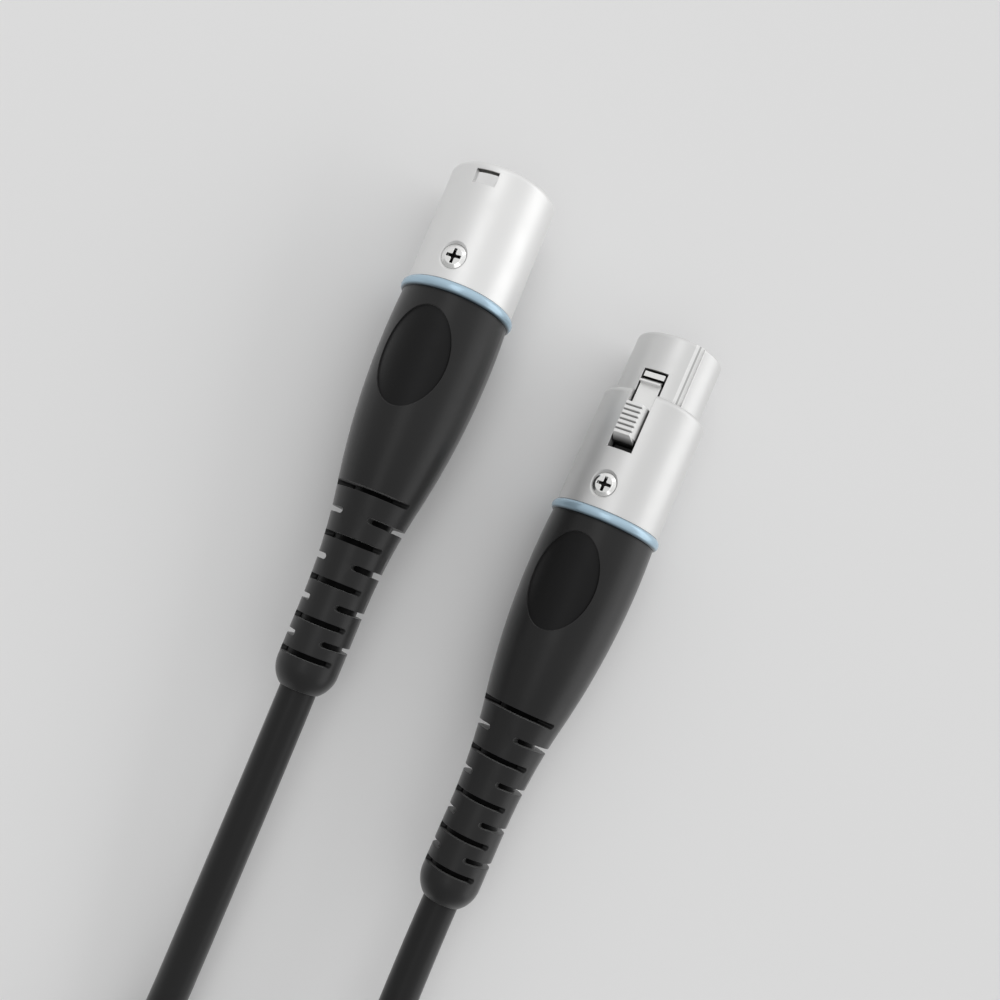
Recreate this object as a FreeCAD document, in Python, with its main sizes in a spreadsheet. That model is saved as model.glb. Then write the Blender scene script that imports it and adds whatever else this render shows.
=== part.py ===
"""Balanced microphone cable: a male and a female three-pin circular connector, each with a metal shell,
a coloured ring and a slotted rubber boot, joined by one round cable that is wound into a tied coil.

Each connector is modelled in its own frame: the origin is on its axis where the ring meets the boot, +Y
points to the mating end and +Z is the side with the screw and the latch or its window. It is then rolled,
turned and moved to where it lies. The part's own frame has +Z up and the male connector along +Y; the
origin is under the middle of the two connectors, on the surface that they lie on. Lengths are in mm.
"""

import FreeCAD
import Part

import math
import os

import Sketcher

SIZES = {
    # shells
    "shell_radius": 9.5,
    "shell_wall": 1.3,
    "spigot_step": 1.2,
    "spigot_wall": 1.1,
    "spigot_depth": 8.0,
    "seat_wall": 1.0,
    "male_front": 23.5,
    "rim_round": 1.1,
    "rim_bevel": 0.2,
    "window_width": 4.1,
    "window_length": 2.6,
    "window_bridge": 1.6,
    "step_front": 24.0,
    "step_round": 1.1,
    "mating_gap": 0.2,
    "nose_front": 35.6,
    "nose_round": 0.7,
    "key_angle": 41.0,
    "key_width": 1.7,
    "key_depth": 0.45,
    # accent ring
    "ring_length": 2.0,
    "ring_stand": 0.65,
    # contacts and their insulators
    "insert_tail": 3.0,
    "male_face": 9.0,
    "face_recess": 0.3,
    "contact_circle": 4.0,
    "pin_radius": 1.2,
    "pin_shoulder": 0.25,
    "pin_recess": 2.1,
    "contact_play": 0.02,
    "socket_wall": 0.38,
    "socket_depth": 12.5,
    "socket_recess": 1.0,
    "cup_length": 4.0,
    "tag_thickness": 0.3,
    "tag_width": 2.0,
    # shell screws
    "screw_at": 6.2,
    "screw_head": 2.15,
    "screw_thread": 1.1,
    "screw_sink": 0.45,
    "screw_crown": 0.3,
    "screw_flat": 1.5,
    "seat_flare": 0.4,
    "screw_foot": 4.5,
    "head_depth": 0.8,
    "cross_length": 2.6,
    "cross_width": 0.55,
    "cross_depth": 0.8,
    # latch
    "latch_width": 3.8,
    "latch_clearance": 0.35,
    "opening_rear": 12.7,
    "opening_front": 28.4,
    "latch_slit": 0.45,
    "pivot_at": 12.6,
    "pivot_drop": 1.5,
    "pivot_radius": 0.6,
    "eye_radius": 1.05,
    "eye_gap": 0.3,
    "pad_rear": 14.95,
    "pad_front": 20.8,
    "pad_rise": 2.0,
    "pad_taper": 0.55,
    "rib_count": 7,
    "rib_land": 0.5,
    "rib_depth": 0.35,
    "plate_sink": 0.25,
    "plate_thickness": 1.3,
    "tooth_rear": 25.65,
    "tooth_height": 1.15,
    "tooth_land": 0.3,
    "tooth_ramp": 0.95,
    "tooth_groove": 0.75,
    "leaf_thickness": 0.22,
    "leaf_width": 3.0,
    # boots
    "boot_neck": 7.18,
    "boot_neck_at": 34.25,
    "boot_tail": 5.25,
    "boot_tail_length": 14.3,
    "boot_end_length": 4.0,
    "boot_lip_wall": 0.3,
    "boot_length": 68.3,
    "boot_barrel_curve": 138.0,
    "boot_waist_curve": 103.0,
    "boot_end_curve": 5.3,
    "throat_mouth": 6.9,
    "throat_end": 32.0,
    "slot_width": 1.0,
    "slot_core_wall": 1.05,
    "slot_bridge": 4.6,
    "slot_first": 34.5,
    "slot_end": 5.6,
    "slot_pitch_ratio": 0.94,
    "slot_count": 9,
    "oval_at": 11.6,
    "oval_length": 17.6,
    "oval_width": 11.5,
    "oval_depth": 0.25,
    # cable and its clamps
    "cable_radius": 3.1,
    "clamp_flange": 1.5,
    "clamp_root": 6.4,
    "clamp_tip_wall": 1.2,
    "clamp_end": 22.0,
    "clamp_chamber": 5.3,
    "chamber_end": 13.0,
    "clamp_slit": 0.8,
    "jacket_start": 13.5,
    "core_radius": 0.7,
    "core_circle": 1.45,
    "fit_gap": 0.05,
    # places: where each connector's ring meets its boot, its roll and its yaw
    "male_x": -19.66,
    "male_y": 34.74,
    "male_roll": 28.5,
    "male_yaw": 0.0,
    "female_x": 19.24,
    "female_y": 10.14,
    "female_roll": 36.5,
    "female_yaw": 2.75,
    # coil of put-away cable
    "coil_x": -2.9,
    "coil_y": -153.2,
    "coil_inner": 27.0,
    "coil_turns": 1.5,
    "coil_layers": 4,
    "turn_gap": 0.45,
    "coil_lift": 1.4,
    "tie_width": 12.0,
    "tie_thickness": 1.0,
    "tie_clearance": 0.4,
    "tie_corner": 3.0,
}

# Sizes that follow from the ones above.
FOLLOWING = {
    "shell_bore": "shell_radius - shell_wall",
    "spigot_radius": "shell_radius - spigot_step",
    "spigot_bore": "spigot_radius - spigot_wall",
    "nose_radius": "shell_bore - mating_gap",
    "ring_radius": "shell_radius + ring_stand",
    "ring_edge": "shell_radius - fit_gap",
    "boot_mouth": "shell_radius",
    "shoulder_radius": "pin_radius + pin_shoulder",
    "socket_bore": "pin_radius + contact_play",
    "socket_radius": "socket_bore + socket_wall",
    "cup_bore": "core_radius + 3 * fit_gap",
    "screw_top": "shell_radius - screw_sink",
    "pivot_height": "spigot_bore - pivot_drop",
    "relief_floor": "pivot_height - eye_radius - eye_gap",
    "pad_top": "shell_radius + pad_rise",
    "pad_foot": "pivot_height - pivot_radius",
    "plate_top": "nose_radius - plate_sink",
    "plate_foot": "plate_top - plate_thickness",
    "boot_waist_at": "boot_length - boot_tail_length",
    "boot_round_at": "boot_length - boot_end_length",
    "boot_lip": "cable_radius + boot_lip_wall",
    "slot_core": "cable_radius + slot_core_wall",
    "slot_last": "boot_length - slot_end",
    "clamp_tip": "cable_radius + clamp_tip_wall",
    "coil_pitch": "2 * cable_radius + turn_gap",
    "coil_stub": "2 * cable_radius",
}

doc = FreeCAD.newDocument("microphone_cable")
sheet = doc.addObject("Spreadsheet::Sheet", "Sizes")
for row, (word, number) in enumerate(SIZES.items(), start=1):
    sheet.set(f"A{row}", word)
    sheet.set(f"B{row}", str(number))
    sheet.setAlias(f"B{row}", word)
doc.recompute()

VECTOR = FreeCAD.Vector
nodes = {}


def formula(text):
    """The expression for a formula on the sheet's words, such as 'shell_radius - 2'."""
    parts = []
    for piece in str(text).split():
        word = piece.lstrip("-")
        sign = piece[:len(piece) - len(word)]
        if word in FOLLOWING:
            parts.append(f"{sign}( {formula(FOLLOWING[word])} )")
        else:
            parts.append(f"{sign}Sizes.{word}" if word in SIZES else piece)
    return " ".join(parts)


def value(text):
    """The number that a formula on the sheet's words gives now."""
    return float(sheet.evalExpression(formula(text)))


def bind(thing, **sizes):
    """Tie properties of an object to formulas on the sheet."""
    for name, text in sizes.items():
        thing.setExpression(name.replace("__", "."), formula(text))


def plane(body, role):
    return next(part for part in body.Origin.OriginFeatures if part.Role == role)


def new_sketch(body, role="XY_Plane"):
    sketch = body.newObject("Sketcher::SketchObject", "Sketch")
    sketch.AttachmentSupport = [(plane(body, role), "")]
    sketch.MapMode = "FlatFace"
    return sketch


def arc_between(start, end, radius, side):
    """An arc from start to end. side is 1 where its centre lies left of the way from start to end."""
    chord = end - start
    rise = math.sqrt(max(radius**2 - chord.Length**2 / 4, 0))
    left = VECTOR(-chord.y, chord.x, 0).normalize()
    centre = (start + end) / 2 + left * (rise * side)
    first, last = (start, end) if side > 0 else (end, start)
    angles = [math.atan2(p.y - centre.y, p.x - centre.x) for p in (first, last)]
    if angles[1] < angles[0]:
        angles[1] += 2 * math.pi
    return Part.ArcOfCircle(Part.Circle(centre, VECTOR(0, 0, 1), radius), *angles)


def outline(sketch, corners):
    """A closed outline in a sketch. Each corner is (x, y) in formulas; (x, y, radius, side) makes the
    next side an arc. The corners' places and the arcs' radii are constraints tied to the sheet."""
    points = [VECTOR(value(c[0]), value(c[1]), 0) for c in corners]
    ends = []
    for corner, start, end in zip(corners, points, points[1:] + points[:1]):
        if len(corner) == 4:
            side = corner[3]
            index = sketch.addGeometry(arc_between(start, end, value(corner[2]), side))
            ends.append((index, 1, 2) if side > 0 else (index, 2, 1))
            limit = sketch.addConstraint(Sketcher.Constraint("Radius", index, value(corner[2])))
            sketch.setExpression(f"Constraints[{limit}]", formula(corner[2]))
        else:
            index = sketch.addGeometry(Part.LineSegment(start, end))
            ends.append((index, 1, 2))
    for (index, _, last), (other, first, _) in zip(ends, ends[1:] + ends[:1]):
        sketch.addConstraint(Sketcher.Constraint("Coincident", index, last, other, first))
    for corner, point, (index, first, _) in zip(corners, points, ends):
        for kind, text, size in (("DistanceX", corner[0], point.x), ("DistanceY", corner[1], point.y)):
            limit = sketch.addConstraint(Sketcher.Constraint(kind, -1, 1, index, first, size))
            sketch.setExpression(f"Constraints[{limit}]", formula(text))


def circle(sketch, x, y, radius):
    """A circle in a sketch, its centre and radius tied to the sheet."""
    centre = VECTOR(value(x), value(y), 0)
    index = sketch.addGeometry(Part.Circle(centre, VECTOR(0, 0, 1), value(radius)))
    for kind, text, size in (("DistanceX", x, centre.x), ("DistanceY", y, centre.y)):
        limit = sketch.addConstraint(Sketcher.Constraint(kind, -1, 1, index, 3, size))
        sketch.setExpression(f"Constraints[{limit}]", formula(text))
    limit = sketch.addConstraint(Sketcher.Constraint("Radius", index, value(radius)))
    sketch.setExpression(f"Constraints[{limit}]", formula(radius))


def new_body(name):
    return doc.addObject("PartDesign::Body", name)


def revolve(body, corners, kind="Revolution"):
    """A solid, or with kind Groove a cut, turned about the connector's axis from (radius, y) corners."""
    sketch = new_sketch(body)
    outline(sketch, corners)
    feature = body.newObject(f"PartDesign::{kind}", kind)
    feature.Profile = sketch
    feature.ReferenceAxis = (sketch, ["V_Axis"])
    feature.Angle = 360
    doc.recompute()
    return feature


def pad(body, sketch, length):
    """A solid as thick as length, half to each side of the sketch."""
    feature = body.newObject("PartDesign::Pad", "Pad")
    feature.Profile = sketch
    feature.SideType = "Symmetric"
    bind(feature, Length=length)
    doc.recompute()
    return feature


def pocket(body, sketch, length, upward=False):
    """A cut through the sketch's outlines: upward from the sketch only, or to both sides of it."""
    before = body.Shape.Volume
    feature = body.newObject("PartDesign::Pocket", "Pocket")
    feature.Profile = sketch
    feature.SideType = "One side" if upward else "Symmetric"
    feature.Reversed = upward
    bind(feature, Length=length)
    doc.recompute()
    if not body.Shape.Volume < before:
        raise ValueError(f"the cut in {body.Label} removes nothing")
    return feature


def box(x, y, z, dx, dy, dz, turn=None):
    """A block from (x, y, z), tied to the sheet. turn rolls it about the connector's axis, in degrees."""
    block = doc.addObject("Part::Box", "Block")
    bind(block, Length=dx, Width=dy, Height=dz)
    corner = VECTOR(value(x), value(y), value(z))
    roll = FreeCAD.Rotation(VECTOR(0, 1, 0), value(turn) if turn else 0)
    block.Placement = FreeCAD.Placement(roll.multVec(corner), roll)
    return block


def cylinder(radius, height, place, axis=VECTOR(0, 0, 1)):
    """A cylinder of the sheet's radius and height, standing at place along axis."""
    drum = doc.addObject("Part::Cylinder", "Drum")
    bind(drum, Radius=radius, Height=height)
    drum.Placement = FreeCAD.Placement(VECTOR(*(value(p) for p in place)),
                                       FreeCAD.Rotation(VECTOR(0, 0, 1), axis))
    return drum


def cone(lower, upper, height, place):
    """An upright cone of the sheet's lower and upper radii."""
    taper = doc.addObject("Part::Cone", "Taper")
    bind(taper, Radius1=lower, Radius2=upper, Height=height)
    taper.Placement.Base = VECTOR(*(value(p) for p in place))
    return taper


def join(*pieces):
    union = doc.addObject("Part::MultiFuse", "Union")
    union.Shapes = list(pieces)
    union.Refine = True
    return union


def cut(base, tool):
    difference = doc.addObject("Part::Cut", "Cut")
    difference.Base = base
    difference.Tool = tool
    return difference


def keep(name, thing, placement):
    """Name a finished sub-part, lay it where its connector lies and put it on the list to write."""
    thing.Label = name
    thing.Placement = placement
    nodes[name] = thing


def shape_feature(name, shape, placement=FreeCAD.Placement()):
    """A sub-part whose shape follows a route, worked out from the sheet's sizes."""
    feature = doc.addObject("Part::Feature", name)
    feature.Shape = shape
    keep(name, feature, placement)
    return feature


def lie(prefix):
    """Where a connector lies: rolled about its axis, then turned on the table."""
    roll = FreeCAD.Rotation(VECTOR(0, 1, 0), -value(f"{prefix}_roll"))
    yaw = FreeCAD.Rotation(VECTOR(0, 0, 1), -value(f"{prefix}_yaw"))
    spot = VECTOR(value(f"{prefix}_x"), value(f"{prefix}_y"), value("ring_radius"))
    return FreeCAD.Placement(spot, yaw.multiply(roll))


def contact_place(angle):
    """A contact's place on the contact circle, in its connector's frame."""
    turn = math.radians(angle)
    reach = value("contact_circle")
    return VECTOR(reach * math.cos(turn), 0, reach * math.sin(turn))


# routes: tubes that follow straight runs joined by tangent arcs


def rounded_route(points):
    """A wire through points, whose corners are arcs as large as 0.45 of the shorter run allows."""
    arcs = []
    radii = []
    for before, corner, after in zip(points, points[1:], points[2:]):
        into, out = corner - before, after - corner
        reach = 0.45 * min(into.Length, out.Length)
        half = into.getAngle(out) / 2
        radius = reach / math.tan(half)
        start = corner - into.normalize() * reach
        end = corner + out.normalize() * reach
        bisector = (start + end) / 2 - corner
        middle = corner + bisector.normalize() * (radius / math.cos(half) - radius)
        arcs.append((start, middle, end))
        radii.append(radius)
    edges = []
    here = points[0]
    for start, middle, end in arcs:
        edges.append(Part.LineSegment(here, start).toShape())
        edges.append(Part.Arc(start, middle, end).toShape())
        here = end
    edges.append(Part.LineSegment(here, points[-1]).toShape())
    return Part.Wire(edges), radii


def tube(wire, radius):
    """A round tube along a wire."""
    first = wire.Edges[0]
    start = first.valueAt(first.FirstParameter)
    heading = first.tangentAt(first.FirstParameter)
    section = Part.Wire(Part.Circle(start, heading, radius).toShape())
    return wire.makePipeShell([section], True, False)


def biarc(start, heading, end, ending):
    """Two arcs from start to end that follow the headings given at both ends."""
    way = end - start
    along = way.dot(heading + ending)
    spare = 2 * (1 - heading.dot(ending))
    reach = (math.sqrt(along**2 + spare * way.dot(way)) - along) / spare
    joint = (start + heading * reach + end - ending * reach) / 2
    arcs = []
    for here, corner, there in ((start, start + heading * reach, joint), (joint, end - ending * reach, end)):
        chord = (here + there) / 2
        rise = corner - chord
        half = math.atan2(rise.Length, (there - here).Length / 2)
        middle = chord + rise * (math.tan(half / 2) / math.tan(half))
        arcs.append(Part.Arc(here, middle, there).toShape())
    return arcs


# shells


def screw_hole():
    """The countersunk hole in a shell's wall, with a flare round the head."""
    throat = "screw_top - head_depth"
    return join(
        cylinder("screw_thread + 4 * fit_gap", "screw_top", (0, "screw_at", "screw_foot")),
        cone("screw_thread + 4 * fit_gap", "screw_head + fit_gap", "head_depth", (0, "screw_at", throat)),
        cylinder("screw_head + fit_gap", "shell_radius", (0, "screw_at", "screw_top")),
        cone("screw_head + fit_gap", "screw_head + fit_gap + seat_flare", "seat_flare",
             (0, "screw_at", "shell_radius - seat_flare")),
    )


def male_shell():
    """A plain tube with a rounded rim, a latch window, a screw hole and the key rib in its bore."""
    body = new_body("male_shell_tube")
    revolve(body, [
        ("spigot_bore", "-spigot_depth"),
        ("spigot_radius", "-spigot_depth"),
        ("spigot_radius", "ring_length"),
        ("shell_radius", "ring_length"),
        ("shell_radius", "male_front - rim_round", "rim_round", 1),
        ("shell_radius - rim_round", "male_front"),
        ("shell_bore + rim_bevel / 2", "male_front"),
        ("shell_bore", "male_front - rim_bevel"),
        ("shell_bore", "ring_length + seat_wall"),
        ("spigot_bore", "ring_length + seat_wall"),
    ])
    window = new_sketch(body)
    far = "male_front - window_bridge"
    near = "male_front - window_bridge - window_length"
    outline(window, [
        ("-window_width / 2", near), ("window_width / 2", near),
        ("window_width / 2", far), ("-window_width / 2", far),
    ])
    pocket(body, window, "shell_radius + 1", upward=True)
    foot = "nose_radius - key_depth + 3 * fit_gap"
    key = box("-key_width / 2 + 3 * fit_gap", "male_face", foot,
              "key_width - 6 * fit_gap", "male_front - male_face - window_bridge",
              "shell_radius - nose_radius", turn="-key_angle")
    return join(cut(body, screw_hole()), key)


def female_shell():
    """The stepped tube: body, rounded shoulder and nose, with the latch opening and the keyway."""
    body = new_body("female_shell_tube")
    revolve(body, [
        ("spigot_bore", "-spigot_depth"),
        ("spigot_radius", "-spigot_depth"),
        ("spigot_radius", "ring_length"),
        ("shell_radius", "ring_length"),
        ("shell_radius", "step_front - step_round", "step_round", 1),
        ("shell_radius - step_round", "step_front"),
        ("nose_radius", "step_front"),
        ("nose_radius", "nose_front - nose_round", "nose_round", 1),
        ("nose_radius - nose_round", "nose_front"),
        ("spigot_bore", "nose_front"),
    ])
    opening = new_sketch(body)
    left, right = "-latch_width / 2 - latch_clearance", "latch_width / 2 + latch_clearance"
    outline(opening, [
        (left, "opening_rear"), (right, "opening_rear"),
        (right, "opening_front"), (left, "opening_front"),
    ])
    pocket(body, opening, "shell_radius + 1", upward=True)
    keyway = box("-key_width / 2", "step_front", "nose_radius - key_depth",
                 "key_width", "nose_front - step_front + 1", "shell_radius - nose_radius", turn="key_angle")
    return cut(cut(body, screw_hole()), keyway)


# insulators, contacts and what holds them


def contact_holes(body, radius, front):
    """Holes for the three contacts, right through the insulator."""
    tools = []
    for angle in CONTACT_ANGLES:
        spot = contact_place(angle)
        tools.append(cylinder(radius, f"insert_tail + {front}", (spot.x, "-insert_tail", spot.z), AHEAD))
    return cut(body, join(*tools))


def insert_cuts(insert):
    """The screw's hole down from the top and the ground tag's groove in the side."""
    hole = cylinder("screw_thread + fit_gap", "shell_radius", (0, "screw_at", "screw_foot - 0.3"))
    groove = box("-shell_radius", "-insert_tail - 1", "-tag_width / 2 - fit_gap",
                 "shell_radius - spigot_bore + 1.1", "insert_tail + ring_length + 1.8",
                 "tag_width + 2 * fit_gap")
    return cut(insert, join(hole, groove))


def male_insert():
    """A flanged insulating disc that seats on the shell's inner shoulder and holds the pins."""
    body = new_body("male_insert_disc")
    revolve(body, [
        (0, "-insert_tail"),
        ("spigot_bore - fit_gap", "-insert_tail"),
        ("spigot_bore - fit_gap", "ring_length + seat_wall"),
        ("shell_bore - fit_gap", "ring_length + seat_wall"),
        ("shell_bore - fit_gap", "male_face"),
        (0, "male_face"),
    ])
    return insert_cuts(contact_holes(body, "shoulder_radius + fit_gap", "male_face + 1"))


def female_insert():
    """A long insulating plug that fills the nose, relieved on top for the latch and its leaf spring."""
    body = new_body("female_insert_plug")
    revolve(body, [
        (0, "-insert_tail"),
        ("spigot_bore - fit_gap", "-insert_tail"),
        ("spigot_bore - fit_gap", "nose_front - face_recess"),
        (0, "nose_front - face_recess"),
    ])
    drilled = contact_holes(body, "socket_radius + fit_gap", "nose_front + 1")
    relief = box("-latch_width / 2 - latch_clearance", "pivot_at - eye_radius - eye_gap", "relief_floor",
                 "latch_width + 2 * latch_clearance",
                 "opening_front - pivot_at + eye_radius + eye_gap", "shell_radius")
    bearing = cylinder("pivot_radius + fit_gap", "2 * shell_radius",
                       ("-shell_radius", "pivot_at", "pivot_height"), VECTOR(1, 0, 0))
    return insert_cuts(cut(drilled, join(relief, bearing)))


def solder_cup(body):
    """The cup's open half, cut away on the outer side."""
    mouth = new_sketch(body)
    rear = "-insert_tail - cup_length"
    outline(mouth, [
        ("-shoulder_radius", f"{rear} - 1"), ("shoulder_radius", f"{rear} - 1"),
        ("shoulder_radius", f"{rear} + cup_length / 2"), ("-shoulder_radius", f"{rear} + cup_length / 2"),
    ])
    pocket(body, mouth, "2 * shoulder_radius", upward=True)


def pin():
    """A turned pin: a thick shank through the insulator, a thinner contact with a round tip, and a
    solder cup."""
    body = new_body("pin_blank")
    rear = "-insert_tail - cup_length"
    tip = "male_front - pin_recess"
    revolve(body, [
        (0, f"{rear} + 0.7 * cup_length"),
        ("cup_bore", f"{rear} + 0.7 * cup_length"),
        ("cup_bore", rear),
        ("shoulder_radius", rear),
        ("shoulder_radius", "male_face"),
        ("pin_radius", "male_face"),
        ("pin_radius", f"{tip} - 0.7 * pin_radius", "pin_radius", 1),
        ("0.3 * pin_radius", tip),
        (0, tip),
    ])
    solder_cup(body)
    return body


def socket():
    """A turned socket: bored and slit at the front so that it grips a pin, with the same solder cup."""
    body = new_body("socket_blank")
    rear = "-insert_tail - cup_length"
    front = "nose_front - face_recess - socket_recess"
    revolve(body, [
        (0, f"{rear} + 0.7 * cup_length"),
        ("cup_bore", f"{rear} + 0.7 * cup_length"),
        ("cup_bore", rear),
        ("shoulder_radius", rear),
        ("shoulder_radius", "-insert_tail"),
        ("socket_radius", "-insert_tail"),
        ("socket_radius", front),
        ("socket_bore", front),
        ("socket_bore", f"{front} - socket_depth"),
        (0, f"{front} - socket_depth - socket_bore / 2"),
    ])
    solder_cup(body)
    slit = new_sketch(body)
    outline(slit, [
        ("-cross_width / 3", f"{front} - socket_depth / 2"), ("cross_width / 3", f"{front} - socket_depth / 2"),
        ("cross_width / 3", f"{front} + 1"), ("-cross_width / 3", f"{front} + 1"),
    ])
    pocket(body, slit, "4 * socket_radius")
    return body


def ground_tag():
    """A bent strip in the insulator's groove, sprung against the shell's bore, with a solder tail."""
    body = new_body("ground_tag_strip")
    inner = "-spigot_bore + 0.7 + tag_thickness"
    outer = "-spigot_bore + 0.7"
    crest = "-spigot_bore + 0.08"
    rear = "-insert_tail - cup_length + 0.5"
    strip = new_sketch(body)
    outline(strip, [
        (outer, rear), (inner, rear),
        (inner, "-insert_tail + 0.8"),
        (f"{crest} + tag_thickness", "-insert_tail + 2.4"),
        (inner, "ring_length - 1"), (inner, "ring_length + 0.4"),
        (outer, "ring_length + 0.4"), (outer, "ring_length - 1"),
        (crest, "-insert_tail + 2.4"),
        (outer, "-insert_tail + 0.8"),
    ])
    pad(body, strip, "tag_width")
    return body


def screw():
    """A countersunk screw with a crowned head and a crossed recess, down into the insulator."""
    throat = "screw_top - head_depth"
    solid = join(
        cylinder("screw_thread", "screw_top - head_depth - screw_foot", (0, "screw_at", "screw_foot")),
        cone("screw_thread", "screw_head", "head_depth", (0, "screw_at", throat)),
        cone("screw_head", "screw_flat", "screw_crown", (0, "screw_at", "screw_top")),
    )
    floor = "screw_top + screw_crown - cross_depth"
    cross = join(
        box("-cross_length / 2", "screw_at - cross_width / 2", floor,
            "cross_length", "cross_width", "cross_depth + 1"),
        box("-cross_width / 2", "screw_at - cross_length / 2", floor,
            "cross_width", "cross_length", "cross_depth + 1"),
        cone("cross_width / 2", "0.9 * cross_width", "cross_depth", (0, "screw_at", floor)),
    )
    return cut(solid, cross)


def accent_ring():
    """The coloured ring: flat faces between boot and shell, and a full round outside."""
    body = new_body("accent_ring_blank")
    rise = "( ring_radius - ring_edge )"
    curve = f"( ring_length * ring_length / 4 + {rise} * {rise} ) / ( 2 * {rise} )"
    revolve(body, [
        ("spigot_radius + fit_gap", 0),
        ("ring_edge", 0, curve, 1),
        ("ring_edge", "ring_length"),
        ("spigot_radius + fit_gap", "ring_length"),
    ])
    return body


# boot


def boot_corners(sink):
    """The boot's outside from its mouth to its tail: a barrel curve, a waist curve, a straight tail and
    a rounded end. sink draws the same form that much inside it."""
    return [
        (f"boot_mouth - {sink}", 0, "boot_barrel_curve", -1),
        (f"boot_neck - {sink}", "-boot_neck_at", "boot_waist_curve", 1),
        (f"boot_tail - {sink}", "-boot_waist_at"),
        (f"boot_tail - {sink}", "-boot_round_at", "boot_end_curve", -1),
        (f"boot_lip - {sink}", "-boot_length"),
        (0, "-boot_length"),
        (0, 0),
    ]


def slot_places():
    """How far behind the boot's mouth each row of flex slots lies; the rows close up to the tail."""
    ratio = value("slot_pitch_ratio")
    steps = [ratio**i for i in range(int(value("slot_count")) - 1)]
    scale = (value("slot_last") - value("slot_first")) / sum(steps)
    return [value("slot_first") + scale * sum(steps[:i]) for i in range(len(steps) + 1)]


def cut_slots(body, role, rows):
    """Rows of slots on both sides of a bridge down the middle of the sketch, round where they end."""
    sketch = new_sketch(body, role)
    half = value("slot_width") / 2
    near = value("slot_bridge") / 2 + half
    far = value("boot_mouth") + 2

    def spot(across, along):
        return VECTOR(along, across, 0) if role == "YZ_Plane" else VECTOR(across, along, 0)

    for row in rows:
        for side in (1, -1):
            low_near, low_far = spot(side * near, -row - half), spot(side * far, -row - half)
            high_far, high_near = spot(side * far, -row + half), spot(side * near, -row + half)
            round_end = spot(side * (near - half), -row)
            sketch.addGeometry([
                Part.LineSegment(low_near, low_far),
                Part.LineSegment(low_far, high_far),
                Part.LineSegment(high_far, high_near),
                Part.Arc(high_near, round_end, low_near),
            ])
    pocket(body, sketch, "4 * boot_mouth")


def boot(prefix):
    """The rubber boot: bored for the spigot, the clamp and the cable, slotted so that its tail flexes,
    with a bare oval recess on top."""
    body = new_body(f"{prefix}_boot_form")
    revolve(body, boot_corners("0"))
    rows = slot_places()
    cut_slots(body, "YZ_Plane", rows[0::2])
    cut_slots(body, "XY_Plane", rows[1::2])
    start = "-slot_first + slot_width"
    revolve(body, [(0, start), ("slot_core", start), ("slot_core", "-boot_round_at"), (0, "-boot_round_at")])
    seat = "-spigot_depth - clamp_flange"
    bore = "cable_radius + fit_gap"
    revolve(body, [
        (0, 1),
        ("spigot_radius + fit_gap", 1),
        ("spigot_radius + fit_gap", seat),
        ("throat_mouth", seat),
        (bore, "-throat_end"),
        (bore, "-boot_length - 1"),
        (0, "-boot_length - 1"),
    ], kind="Groove")
    floor = new_body(f"{prefix}_oval_floor")
    revolve(floor, boot_corners("oval_depth"))
    oval = doc.addObject("Part::Ellipse", "Oval")
    bind(oval, MajorRadius="oval_length / 2", MinorRadius="oval_width / 2")
    oval.Placement = FreeCAD.Placement(VECTOR(0, -value("oval_at"), 0),
                                       FreeCAD.Rotation(VECTOR(0, 0, 1), 90))
    prism = doc.addObject("Part::Extrusion", "OvalPrism")
    prism.Base = oval
    prism.DirMode = "Custom"
    prism.Dir = VECTOR(0, 0, 1)
    prism.Solid = True
    bind(prism, LengthFwd="boot_mouth + 2")
    return cut(body, cut(prism, floor))


# cable clamp, cable and its cores


def cable_clamp():
    """A collet round the cable: a flange against the spigot, a chamber for the cores and four jaws."""
    body = new_body("clamp_form")
    seat = "-spigot_depth - clamp_flange"
    grip = "cable_radius + fit_gap"
    revolve(body, [
        ("clamp_chamber", "-spigot_depth"),
        ("spigot_radius", "-spigot_depth"),
        ("spigot_radius", seat),
        ("clamp_root", seat),
        ("clamp_tip", "-clamp_end"),
        (grip, "-clamp_end"),
        (grip, "-chamber_end"),
        ("clamp_chamber", "-chamber_end + 0.6"),
    ])
    for role in ("XY_Plane", "YZ_Plane"):
        slit = new_sketch(body, role)
        corners = [("-clamp_slit / 2", "-clamp_end - 1"), ("clamp_slit / 2", "-clamp_end - 1"),
                   ("clamp_slit / 2", "-chamber_end - 1"), ("-clamp_slit / 2", "-chamber_end - 1")]
        outline(slit, [corner[::-1] for corner in corners] if role == "YZ_Plane" else corners)
        pocket(body, slit, "3 * clamp_root")
    return body


def core_route(angle):
    """One core's path, from the jacket's end out to its solder cup."""
    turn = math.radians(angle)
    inner, outer = value("core_circle"), value("contact_circle")
    cup = value("insert_tail") + value("cup_length")
    start = value("jacket_start")
    stations = ((inner, start), (inner, start - 1.4), (outer, cup + 1.6), (outer, cup - 2.2))
    return [VECTOR(r * math.cos(turn), -y, r * math.sin(turn)) for r, y in stations]


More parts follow.
